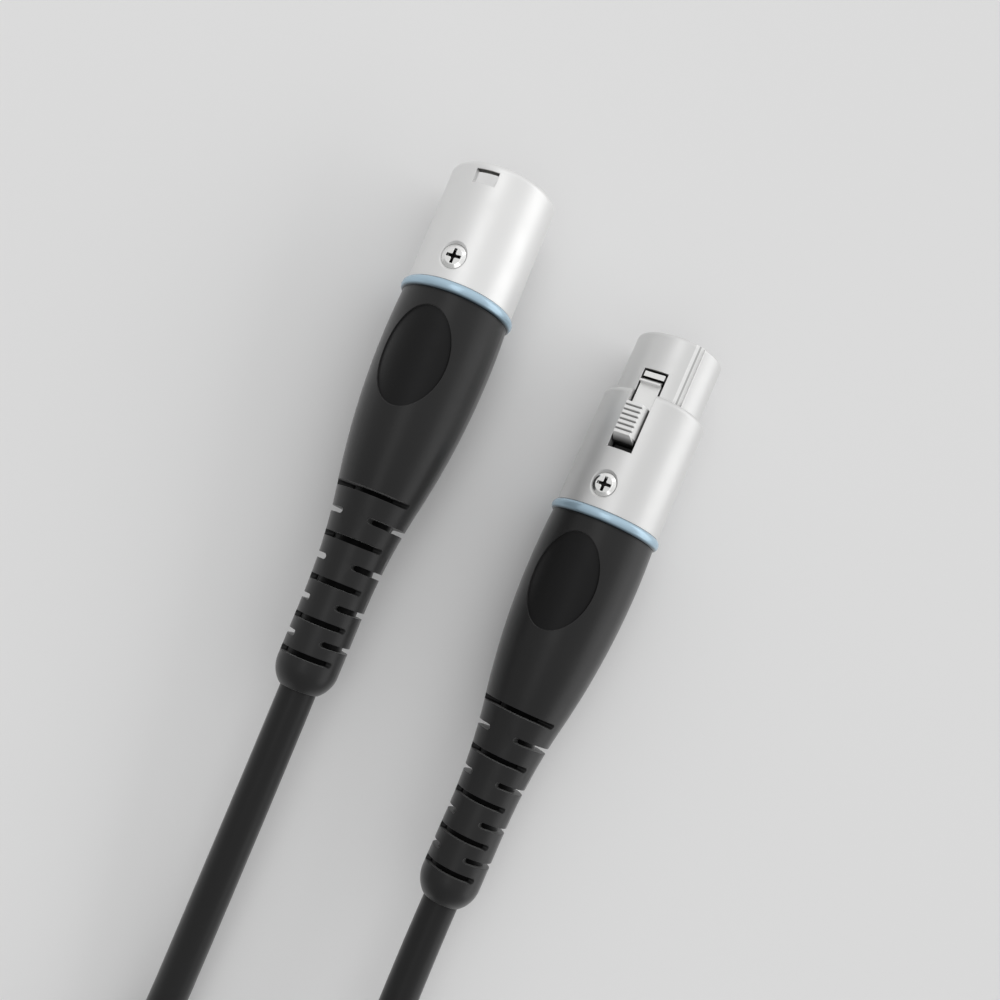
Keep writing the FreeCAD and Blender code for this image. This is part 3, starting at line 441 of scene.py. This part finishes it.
def worn_and_shaded_finish(name, color, grain, wear_and_shade, bright, gap_shade, edge, depth, strength, own):
    """A worn material with painted light. grain and wear are the two groups' values, own those of the
    shader's own sockets;
    edges are lighter by bright, as polish and a painted highlight, narrow gaps are darker by the factor
    grime, as painted shade, and edges are rounded by edge."""
    material, shader = new_material(name)
    tree = material.node_tree
    texture = place_group(tree, "Grain", grain)
    marks = place_group(tree, "Handling And Shade", wear_and_shade)
    # Edges get a lighter colour, as polish and a painted highlight; narrow gaps get a darker one, as
    # painted shade.
    lit_and_polished = (*(min(1.0, part * bright + EDGE_LIFT) for part in color), 1.0)
    edged = mix_colors(tree, marks.outputs["Edge"], scaled_color(color, 1.0), lit_and_polished)
    tree.links.new(mix_colors(tree, marks.outputs["Gap"], edged, scaled_color(color, gap_shade)),
                   shader.inputs["Base Color"])
    tree.links.new(calc(tree, "ADD", texture.outputs["Roughness"], marks.outputs["Smudge"]),
                   shader.inputs["Roughness"])
    tree.links.new(bump(tree, texture.outputs["Height"], depth, strength, rounded_normal(tree, edge)),
                   shader.inputs["Normal"])
    for key, given in own.items():
        shader.inputs[key].default_value = given
    return material


def nickel_finish(name, color, low=0.38, high=0.45, edge=0.00015, gap=0.0014, gap_shade=0.06, metallic=0.5):
    """Satin nickel plate: fine blasted grain, softly rounded edges lit by polish and a painted highlight,
    faint smudges and painted shade in narrow gaps.
    """
    return worn_and_shaded_finish(
        name, color, bright=1.12, gap_shade=gap_shade, edge=edge, depth=0.000003, strength=0.4,
        grain={"Size": 0.00018, "Patch Size": 0.007, "Low": low, "High": high},
        wear_and_shade={"Edge Width": edge * 2, "Smudge Size": 0.006, "Smudge Amount": 0.05, "Gap Width": gap},
        own={"Metallic": metallic})


def moulded_finish(name, color, low, high, grain_size=0.0003, depth=0.00001, edge=0.0002, gap=0.0012,
                   own=None):
    """Moulded rubber or plastic: fine texture, soft edges lit by rubbing and a painted highlight, faint
    smudges and painted shade in narrow gaps.
    """
    return worn_and_shaded_finish(
        name, color, bright=1.3, gap_shade=0.3, edge=edge, depth=depth, strength=0.6,
        grain={"Size": grain_size, "Patch Size": 0.008, "Low": low, "High": high},
        wear_and_shade={"Edge Width": edge * 1.5, "Smudge Size": 0.009, "Smudge Amount": 0.04, "Gap Width": gap},
        own=own or {})


def tone(tree, mask, factor):
    """Multiplies a material's base colour by factor where mask is 1."""
    base = shader_of(tree).inputs["Base Color"]
    toned = mix_colors(tree, mask, base.links[0].from_socket, scaled_color((1.0, 1.0, 1.0), factor),
                       blend_type="MULTIPLY")
    tree.links.new(toned, base)


def boot_finish(name, color, place, turn):
    """Boot rubber with painted shade along its seam against the ring, a bare oval panel on top, and painted
    shade on the core down in its slots.
    """
    material = moulded_finish(name, color, low=0.3, high=0.38, own=BOOT_SHINE)
    tree = material.node_tree
    shader = shader_of(tree)
    local, along, height = own_axes(tree, place, turn)
    reach = spread(tree, local, (2 / OVAL_SIZE[0], 2 / OVAL_SIZE[1], 0.0), OVAL_AT)
    oval = product(tree, ramp(tree, reach, *OVAL_RIM), ramp(tree, height, *UPPER_SIDE))
    slots = product(tree, ramp(tree, spread(tree, local, ROUND_AXIS), *CORE_SIDE),
                    ramp(tree, along, *SLOTS_FRONT), ramp(tree, along, *SLOTS_BACK))
    tone(tree, oval, factor=1.5)
    # Painted shade: the boot's front, against the ring, is darkened.
    tone(tree, ramp(tree, along, *BOOT_SEAM_SHADE), factor=0.1)
    # Painted shade: the core seen down in the slots is darkened, and made metallic to darken it further;
    # the oval panel is metallic by its own finish.
    tone(tree, slots, factor=0.2)
    tree.links.new(calc(tree, "MAXIMUM", oval, slots), shader.inputs["Metallic"])
    rough = shader.inputs["Roughness"]
    rougher = calc(tree, "ADD", rough.links[0].from_socket, calc(tree, "MULTIPLY", oval, OVAL_ROUGHER))
    tree.links.new(rougher, rough)
    return material


def window_finish(name, color, place, turn):
    """Satin nickel with painted shade on the wall at the front of the latch window."""
    material = nickel_finish(name, color)
    tree = material.node_tree
    local, along, _ = own_axes(tree, place, turn)
    apart = calc(tree, "ABSOLUTE", calc(tree, "SUBTRACT", along, WINDOW_WALL))
    wall = product(tree, ramp(tree, apart, *WALL_FACE),
                   ramp(tree, spread(tree, local, ROUND_AXIS), *WALL_EDGE))
    # Painted shade on the window's front wall.
    tone(tree, wall, factor=0.12)
    return material


def nose_finish(name, color, place, turn):
    """Satin nickel with a painted highlight over its keyway and a fine line of painted shade down its
    middle.
    """
    material = nickel_finish(name, color)
    tree = material.node_tree
    local, along, height = own_axes(tree, place, turn)
    across = vector_calc(tree, "DOT_PRODUCT", local, (math.cos(KEY_ANGLE), 0.0, -math.sin(KEY_ANGLE)))
    apart = calc(tree, "ABSOLUTE", across)
    on_nose = product(tree, ramp(tree, along, *NOSE_BACK), ramp(tree, height, *UPPER_SIDE))
    # Painted highlight over the keyway.
    tone(tree, product(tree, on_nose, ramp(tree, apart, *KEYWAY_SIDE)), factor=1.22)
    # Painted shade: a fine line down the keyway's middle.
    tone(tree, product(tree, on_nose, ramp(tree, apart, *KEYWAY_LINE)), factor=0.55)
    return material


def ring_finish(name, color, place, turn):
    """Pearly blue ring with painted shade along its seam against the boot, and fainter painted shade along
    the one against the shell.
    """
    material = moulded_finish(name, color, low=0.2, high=0.26, edge=0.0001, gap=0.0009,
                              own={"Metallic": 0.4})
    tree = material.node_tree
    _, along, _ = own_axes(tree, place, turn)
    # Painted shade where the ring meets the boot and, fainter, where it meets the shell.
    tone(tree, ramp(tree, along, *RING_BACK), factor=0.06)
    tone(tree, ramp(tree, along, *RING_FRONT), factor=0.45)
    return material


def latch_finish(name, color, place, turn):
    """Satin nickel with painted shade behind the pad, at its sides, on the tooth's ramp
    and down in the pad's grooves."""
    material = nickel_finish(name, color, low=0.3, high=0.38, edge=0.00012, gap=0.0009, gap_shade=0.45)
    tree = material.node_tree
    _, along, height = own_axes(tree, place, turn)
    # All four masks below mark painted shade: behind the pad, at the lever's sides, on the tooth's ramp and
    # down the pad's grooves.
    behind = product(tree, ramp(tree, along, *BEHIND_PAD), ramp(tree, height, *BEHIND_PAD_TOP))
    sides = product(tree, ramp(tree, height, *LEVER_SIDE_TOP), ramp(tree, along, *LEVER_SIDE_FRONT))
    front = product(tree, ramp(tree, along, *TOOTH_BACK), ramp(tree, along, *TOOTH_FRONT),
                    ramp(tree, height, *TOOTH_TOP))
    from_groove = calc(tree, "PINGPONG", calc(tree, "SUBTRACT", along, GROOVE_AT), GROOVE_PITCH / 2)
    grooves = product(tree, ramp(tree, from_groove, *GROOVE_SIDE), ramp(tree, height, *PAD_TOP),
                      ramp(tree, along, *PAD_BACK), ramp(tree, along, *PAD_FRONT))
    for mask, factor in ((behind, 0.03), (sides, 0.05), (front, 0.06), (grooves, 0.7)):
        tone(tree, mask, factor)
    return material


def screw_finish(name, color, place, turn):
    """Bright plate on a screw, with near-black painted shade down in its crossed recess."""
    material = nickel_finish(name, color, low=0.12, high=0.18, edge=0.00012, gap=0.0005, gap_shade=0.3,
                             metallic=0.95)
    tree = material.node_tree
    local, _, height = own_axes(tree, place, turn)
    reach = spread(tree, local, FROM_ABOVE, SCREW_AT)
    # Painted shade in the cross recess.
    tone(tree, product(tree, ramp(tree, reach, *RECESS_SIDE), ramp(tree, height, *RECESS_TOP)), factor=0.02)
    return material


def finish_nodes(material, *names):
    """Gives CAD nodes a finish."""
    for name in names:
        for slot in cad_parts[name].material_slots:
            slot.material = material


# ---- cable


def coil_points(cable):
    """The coil's centre line from its outer start at the left to its outer end at the right."""
    pitch = cable.coil_pitch
    outer = cable.coil_inner + cable.layer_turns * pitch
    left, right = Vector(MALE_LEAD[-1]) * MM, Vector(FEMALE_LEAD[0]) * MM
    middle = Vector(((left.x + right.x) / 2, left.y - cable.diameter, 0.0))
    count = cable.turn_points
    step = 2 * math.pi / count
    # A smooth spline cuts inside its control points, so they lie further out than the turns by swell.
    swell = 2 / (0.875 + 0.125 * math.cos(step) + math.cos(step / 2))
    per_layer = round(cable.layer_turns * count)
    climb = count // 2
    stations = []
    angle = math.pi
    for layer in range(cable.layers):
        start, way = (outer, -1) if layer % 2 == 0 else (cable.coil_inner, 1)
        height = cable.coil_bottom + layer * pitch
        for number in range(per_layer + 1):
            stations.append((angle + number * step, start + way * pitch * number / count, height))
        angle += per_layer * step
        if layer < cable.layers - 1:
            reach = start + way * pitch * cable.layer_turns
            for number in range(1, climb):
                share = number / climb
                bulge = pitch / 4 * math.sin(math.pi * share)
                rise = pitch * (1 - math.cos(math.pi * share)) / 2
                stations.append((angle + number * step, reach + way * bulge, height + rise))
            angle += climb * step
    return [middle + Vector((math.cos(a) * r * swell, math.sin(a) * r * swell, z)) for a, r, z in stations]


class MIC_CABLE_OT_lay_cable(bpy.types.Operator):
    """Lay the cable from the male boot through its coil to the female boot, as one smooth curve"""

    bl_idname = "mic_cable.lay_cable"
    bl_label = "Lay Cable"

    def execute(self, context):
        cable = context.scene.mic_cable
        points = [Vector(p) * MM for p in MALE_LEAD] + coil_points(cable)
        points += [Vector(p) * MM for p in FEMALE_LEAD]
        curve = bpy.data.curves.new("cable", "CURVE")
        curve.dimensions = "3D"
        curve.bevel_depth = cable.diameter / 2
        curve.bevel_resolution = 8
        curve.resolution_u = 6
        curve.use_fill_caps = True
        spline = curve.splines.new("NURBS")
        spline.points.add(len(points) - 1)
        for control, point in zip(spline.points, points):
            control.co = (*point, 1.0)
        spline.order_u = 3
        spline.use_endpoint_u = True
        piece = add_object("cable", curve)
        curve.materials.append(moulded_finish("Cable Jacket", context.scene.mic_finish.jacket, low=0.32,
                                              high=0.4, grain_size=0.0005, depth=0.000012,
                                              own=JACKET_SHINE))
        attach(piece, CABLE_BODY)
        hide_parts("male_lead", "cable_coil", "female_lead")
        return {"FINISHED"}


# ---- strap


def tie_middle():
    """The middle of the tie's box in the CAD."""
    return [(low + high) / 2 for low, high in zip(*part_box("coil_tie"))]


def strap_path(strap, stand):
    """Points (y, z) of the strap's line, stand metres outside the bundle of turns. It starts on top, over
    the bundle's inner side, goes outwards, down, under and up again, and ends over its own start."""
    low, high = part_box("coil_tie")
    wall = STRAP_WALL + STRAP_SNUG
    y0, y1 = low[1] + wall - stand, high[1] - wall + stand
    z0, z1 = low[2] + wall - stand, high[2] - wall + stand
    bend = STRAP_BEND + stand
    corners = (((y0 + bend, z1 - bend), 90), ((y0 + bend, z0 + bend), 180),
               ((y1 - bend, z0 + bend), 270), ((y1 - bend, z1 - bend), 0))
    points = [(y1 - bend, z1)]
    for (y, z), first in corners:
        for step in range(BEND_STEPS + 1):
            angle = math.radians(first + step * 90 / BEND_STEPS)
            points.append((y + bend * math.cos(angle), z + bend * math.sin(angle)))
    lift = strap.thickness * LAP_LIFT
    lap = [(y1 - bend - share * (y1 - y0 - 2 * bend), z1 + lift * min(1.0, share / LAP_RISE))
           for share in (0.0, 0.1, 0.2, 0.5, 0.8)]
    return points[:-1] + lap


def strap_band(strap):
    """The woven band as a mesh: a flat section with soft edges, swept along its line."""
    middle_x, middle_y, middle_z = tie_middle()
    middle = Vector((0.0, middle_y, middle_z))
    half, deep = strap.width / 2, strap.thickness / 2
    flat = half - STRAP_CORNER
    section = [(flat, deep), (half, deep / 2), (half, -deep / 2), (flat, -deep),
               (-flat, -deep), (-half, -deep / 2), (-half, deep / 2), (-flat, deep)]
    line = [Vector((0.0, y, z)) for y, z in strap_path(strap, deep)]
    form = bmesh.new()
    rings = []
    for number, point in enumerate(line):
        ahead = line[min(number + 1, len(line) - 1)] - line[max(number - 1, 0)]
        out = Vector((0.0, -ahead.z, ahead.y)).normalized()
        if out.dot(point - middle) < 0:
            out = -out
        rings.append([form.verts.new(Vector((middle_x + x, point.y, point.z)) + out * rise)
                      for x, rise in section])
    for first, second in zip(rings, rings[1:]):
        for a in range(len(section)):
            b = (a + 1) % len(section)
            form.faces.new((first[a], first[b], second[b], second[a]))
    form.faces.new(rings[0])
    form.faces.new(tuple(reversed(rings[-1])))
    bmesh.ops.recalc_face_normals(form, faces=form.faces)
    mesh = bpy.data.meshes.new("coil_strap")
    form.to_mesh(mesh)
    form.free()
    for face in mesh.polygons:
        face.use_smooth = True
    return mesh


def rib_nodes():
    """Geometry nodes that set cross threads along a line, evenly, and give them a material."""
    group = bpy.data.node_groups.new("Cross Threads", "GeometryNodeTree")
    face = group.interface
    face.new_socket("Geometry", in_out="INPUT", socket_type="NodeSocketGeometry")
    for key, default in (("Spacing", 0.0009), ("Length", 0.0116), ("Radius", 0.00022)):
        face.new_socket(key, in_out="INPUT", socket_type="NodeSocketFloat").default_value = default
    face.new_socket("Material", in_out="INPUT", socket_type="NodeSocketMaterial")
    face.new_socket("Geometry", in_out="OUTPUT", socket_type="NodeSocketGeometry")
    given, result = node(group, "NodeGroupInput"), node(group, "NodeGroupOutput")
    points = node(group, "GeometryNodeCurveToPoints", {
        "Curve": given.outputs["Geometry"], "Length": given.outputs["Spacing"]}, mode="LENGTH")
    thread = node(group, "GeometryNodeMeshCylinder", {
        "Vertices": 8, "Radius": given.outputs["Radius"], "Depth": given.outputs["Length"]},
        fill_type="TRIANGLE_FAN")
    laid = node(group, "GeometryNodeTransform", {
        "Geometry": thread.outputs["Mesh"], "Rotation": (0.0, math.pi / 2, 0.0)})
    threads = node(group, "GeometryNodeInstanceOnPoints", {
        "Points": points.outputs["Points"], "Instance": laid.outputs["Geometry"]})
    real = node(group, "GeometryNodeRealizeInstances", {"Geometry": threads.outputs["Instances"]})
    smooth = node(group, "GeometryNodeSetShadeSmooth", {"Geometry": real.outputs["Geometry"]})
    dressed = node(group, "GeometryNodeSetMaterial", {
        "Geometry": smooth.outputs[0], "Material": given.outputs["Material"]})
    group.links.new(dressed.outputs["Geometry"], result.inputs["Geometry"])
    return group


def strap_threads(strap, material):
    """The band's cross threads, baked from geometry nodes on a line over its outer face."""
    middle = tie_middle()[0]
    line = bpy.data.curves.new("thread_line", "CURVE")
    line.dimensions = "3D"
    spline = line.splines.new("POLY")
    points = strap_path(strap, strap.thickness)
    spline.points.add(len(points) - 1)
    for control, (y, z) in zip(spline.points, points):
        control.co = (middle, y, z, 1.0)
    carrier = add_object("thread_line", line)
    threads = carrier.modifiers.new("Threads", "NODES")
    threads.node_group = rib_nodes()
    sockets = {item.name: item.identifier for item in threads.node_group.interface.items_tree
               if item.in_out == "INPUT"}
    threads[sockets["Spacing"]] = strap.rib_spacing
    threads[sockets["Length"]] = strap.width - THREAD_INSET
    threads[sockets["Radius"]] = strap.thickness / 4
    threads[sockets["Material"]] = material
    bpy.context.view_layer.update()
    graph = bpy.context.evaluated_depsgraph_get()
    mesh = bpy.data.meshes.new_from_object(carrier.evaluated_get(graph), depsgraph=graph)
    carrier.modifiers.remove(threads)
    bpy.data.objects.remove(carrier)
    return mesh


def weave_finish(name, color):
    """Woven nylon: warp and weft bumps, matt with a faint sheen."""
    material, shader = new_material(name)
    tree = material.node_tree
    grain = place_group(tree, "Grain", {"Size": 0.00025, "Patch Size": 0.006, "Low": 0.68, "High": 0.82})
    place = object_place(tree)
    warp, weft = (
        node(tree, "ShaderNodeTexWave", {"Vector": place, "Scale": WEAVE_SCALE, "Distortion": 0.4},
             wave_type="BANDS", bands_direction=way).outputs["Fac"] for way in ("X", "DIAGONAL"))
    weave = calc(tree, "MAXIMUM", warp, weft)
    tree.links.new(mix_colors(tree, weave, scaled_color(color, 0.6), scaled_color(color, 1.5)),
                   shader.inputs["Base Color"])
    tree.links.new(grain.outputs["Roughness"], shader.inputs["Roughness"])
    fibres = bump(tree, grain.outputs["Height"], distance=0.00003, strength=0.5)
    tree.links.new(bump(tree, weave, distance=0.0001, strength=0.8, base=fibres), shader.inputs["Normal"])
    shader.inputs["Sheen Weight"].default_value = 0.3
    return material


class MIC_CABLE_OT_tie_coil(bpy.types.Operator):
    """Make the woven strap round the coil, with its cross threads"""

    bl_idname = "mic_cable.tie_coil"
    bl_label = "Tie Coil"

    def execute(self, context):
        strap = context.scene.mic_strap
        woven = weave_finish("Strap Weave", STRAP_COLOR)
        band = add_object("coil_strap", strap_band(strap))
        band.data.materials.append(woven)
        threads = add_object("coil_strap_threads", strap_threads(strap, woven))
        for piece in (band, threads):
            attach(piece, CABLE_BODY)
        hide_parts("coil_tie")
        return {"FINISHED"}


# ---- finishes of the pieces


def on_both(*pieces):
    """The names of these pieces in the male and in the female connector."""
    return [f"{side}_{piece}" for side, _ in CONNECTORS for piece in pieces]


class MIC_CABLE_OT_finish_metal(bpy.types.Operator):
    """Give shells, latch, screws and contacts their metal finishes"""

    bl_idname = "mic_cable.finish_metal"
    bl_label = "Finish Metal"

    def execute(self, context):
        nickel = context.scene.mic_finish.nickel
        finish_nodes(window_finish("Male Nickel", nickel, *MALE_PLACE), "male_shell")
        # Painted shade: the female shell gets a darker copy of the male shell's nickel.
        darker = [part * FEMALE_SHADE for part in nickel]
        finish_nodes(nose_finish("Female Nickel", darker, *FEMALE_PLACE), "female_shell")
        finish_nodes(latch_finish("Latch Nickel", LATCH_COLOR, *FEMALE_PLACE), "latch_lever")
        for side, axes in CONNECTORS:
            finish_nodes(screw_finish(f"{side.title()} Screw", SCREW_COLOR, *axes), f"{side}_screw")
        finish_nodes(nickel_finish("Spring Steel", STEEL_COLOR, low=0.3, high=0.38, edge=0.00005),
                     "latch_pin", "latch_spring")
        finish_nodes(nickel_finish("Silver Contacts", SILVER_COLOR, low=0.16, high=0.24, edge=0.00005,
                                   gap_shade=0.5),
                     "male_pin_1", "male_pin_2", "male_pin_3",
                     "female_socket_1", "female_socket_2", "female_socket_3", *on_both("ground_tag"))
        return {"FINISHED"}


class MIC_CABLE_OT_finish_mouldings(bpy.types.Operator):
    """Give boots, rings, inserts, clamps and the cable's ends and cores their finishes"""

    bl_idname = "mic_cable.finish_mouldings"
    bl_label = "Finish Mouldings"

    def execute(self, context):
        finish = context.scene.mic_finish
        for side, axes in CONNECTORS:
            finish_nodes(boot_finish(f"{side.title()} Boot Rubber", finish.rubber, *axes), f"{side}_boot")
            finish_nodes(ring_finish(f"{side.title()} Ring Blue", finish.ring, *axes),
                         f"{side}_accent_ring")
        finish_nodes(moulded_finish("Insert Black", INSERT_COLOR, low=0.35, high=0.45, edge=0.0001),
                     *on_both("insert", "cable_clamp"))
        finish_nodes(bpy.data.materials["Cable Jacket"], *on_both("cable_end"))
        finish_nodes(moulded_finish("Core Red", CORE_RED, low=0.35, high=0.4), *on_both("hot_wire"))
        finish_nodes(moulded_finish("Core White", CORE_WHITE, low=0.35, high=0.4), *on_both("cold_wire"))
        finish_nodes(nickel_finish("Shield Copper", COPPER_COLOR, low=0.3, high=0.4),
                     *on_both("shield_wire"))
        return {"FINISHED"}


# ---- studio


def lay_floor():
    """A wide pale floor under the object."""
    mesh = bpy.data.meshes.new("floor")
    corners = ((-1, -1), (1, -1), (1, 1), (-1, 1))
    mesh.from_pydata([(x * FLOOR_HALF, y * FLOOR_HALF, 0.0) for x, y in corners], [], [(0, 1, 2, 3)])
    floor = add_object("floor", mesh)
    material, shader = new_material("Pale Floor")
    shader.inputs["Base Color"].default_value = (*FLOOR_COLOR, 1.0)
    shader.inputs["Roughness"].default_value = FLOOR_ROUGHNESS
    mesh.materials.append(material)


def light_sky(strength):
    """A sky that is brighter on one side, with a plain backdrop for the camera only."""
    world = bpy.data.worlds.new("Studio Sky")
    world.use_nodes = True
    tree = world.node_tree
    sky = tree.nodes["Background"]
    sky.inputs["Color"].default_value = (1.0, 1.0, 1.0, 1.0)
    direction = node(tree, "ShaderNodeTexCoord").outputs["Generated"]
    level = node(tree, "ShaderNodeMapRange", {
        "Value": vector_calc(tree, "DOT_PRODUCT", direction, SKY_SIDE),
        "From Min": SKY_AWAY, "From Max": 1.0,
        "To Min": strength * SKY_DIM, "To Max": strength * SKY_BRIGHT})
    height = node(tree, "ShaderNodeSeparateXYZ", {"Vector": direction}).outputs["Z"]
    cove = node(tree, "ShaderNodeMapRange", {
        "Value": height, "From Min": 0.0, "From Max": BACKDROP_RISE,
        "To Min": HORIZON_LEVEL, "To Max": BACKDROP_LEVEL})
    seen = node(tree, "ShaderNodeMix", {
        "Factor": node(tree, "ShaderNodeLightPath").outputs["Is Camera Ray"],
        FLOAT_A: level.outputs["Result"], FLOAT_B: cove.outputs["Result"]}, data_type="FLOAT")
    tree.links.new(seen.outputs[FLOAT_RESULT], sky.inputs["Strength"])
    bpy.context.scene.world = world


def facing(place, aim, up):
    """The matrix of a lamp or camera at place that looks at aim, with up upwards in its view."""
    ahead = (Vector(aim) - Vector(place)).normalized()
    right = ahead.cross(Vector(up)).normalized()
    turn = Matrix((right, right.cross(ahead), -ahead)).transposed()
    return Matrix.Translation(place) @ turn.to_4x4()


def hang_lamp(name, place, size, power):
    """A rectangular lamp that faces the origin and that the camera doesn't see."""
    lamp = bpy.data.lights.new(name, "AREA")
    lamp.shape = "RECTANGLE"
    lamp.size, lamp.size_y = size
    lamp.energy = power
    light = add_object(name, lamp)
    light.visible_camera = False
    light.matrix_world = facing(place, (0.0, 0.0, 0.0), (0.0, 1.0, 0.0))


def set_camera(lens):
    """The camera at the photograph's viewing angle."""
    data = bpy.data.cameras.new("camera")
    data.lens = lens
    data.sensor_width = SENSOR_WIDTH
    data.clip_start = CLIP_START
    camera = add_object("camera", data)
    camera.matrix_world = facing(CAMERA_PLACE, CAMERA_AIM, CAMERA_UP)
    bpy.context.scene.camera = camera


class MIC_CABLE_OT_set_studio(bpy.types.Operator):
    """Set the floor, lights and camera"""

    bl_idname = "mic_cable.set_studio"
    bl_label = "Set Studio"

    def execute(self, context):
        studio = context.scene.mic_studio
        lay_floor()
        light_sky(studio.sky)
        hang_lamp("key", *KEY_LAMP, studio.key_power)
        hang_lamp("fill", *FILL_LAMP, studio.fill_power)
        set_camera(studio.lens)
        context.scene.view_settings.view_transform = "Standard"
        return {"FINISHED"}


# ---- add-on


class MIC_CABLE_PT_panel(bpy.types.Panel):
    """Settings and steps in the sidebar."""

    bl_label = "Microphone Cable"
    bl_space_type = "VIEW_3D"
    bl_region_type = "UI"
    bl_category = "Microphone Cable"

    def draw(self, context):
        column = self.layout.column()
        scene = context.scene
        for group in (scene.mic_cable, scene.mic_strap, scene.mic_finish, scene.mic_studio):
            for key in group.bl_rna.properties.keys():
                if key not in ("rna_type", "name"):
                    column.prop(group, key)
        for operator in OPERATORS:
            column.operator(operator.bl_idname)


OPERATORS = (
    MIC_CABLE_OT_lay_cable,
    MIC_CABLE_OT_tie_coil,
    MIC_CABLE_OT_finish_metal,
    MIC_CABLE_OT_finish_mouldings,
    MIC_CABLE_OT_set_studio,
)
SETTINGS = (CableSettings, StrapSettings, FinishSettings, StudioSettings)
CLASSES = SETTINGS + OPERATORS + (MIC_CABLE_PT_panel,)


def register():
    """Registers the classes and puts their settings on the scene."""
    for entry in CLASSES:
        bpy.utils.register_class(entry)
    bpy.types.Scene.mic_cable = PointerProperty(type=CableSettings)
    bpy.types.Scene.mic_strap = PointerProperty(type=StrapSettings)
    bpy.types.Scene.mic_finish = PointerProperty(type=FinishSettings)
    bpy.types.Scene.mic_studio = PointerProperty(type=StudioSettings)


def unregister():
    """Takes the settings off the scene and the classes out."""
    del bpy.types.Scene.mic_studio
    del bpy.types.Scene.mic_finish
    del bpy.types.Scene.mic_strap
    del bpy.types.Scene.mic_cable
    for entry in reversed(CLASSES):
        bpy.utils.unregister_class(entry)


def main():
    """Makes the whole scene."""
    register()
    grain_group()
    wear_and_shade_group()
    bpy.ops.mic_cable.lay_cable()
    bpy.ops.mic_cable.tie_coil()
    bpy.ops.mic_cable.finish_metal()
    bpy.ops.mic_cable.finish_mouldings()
    bpy.ops.mic_cable.set_studio()


if __name__ == "__main__":
    main()
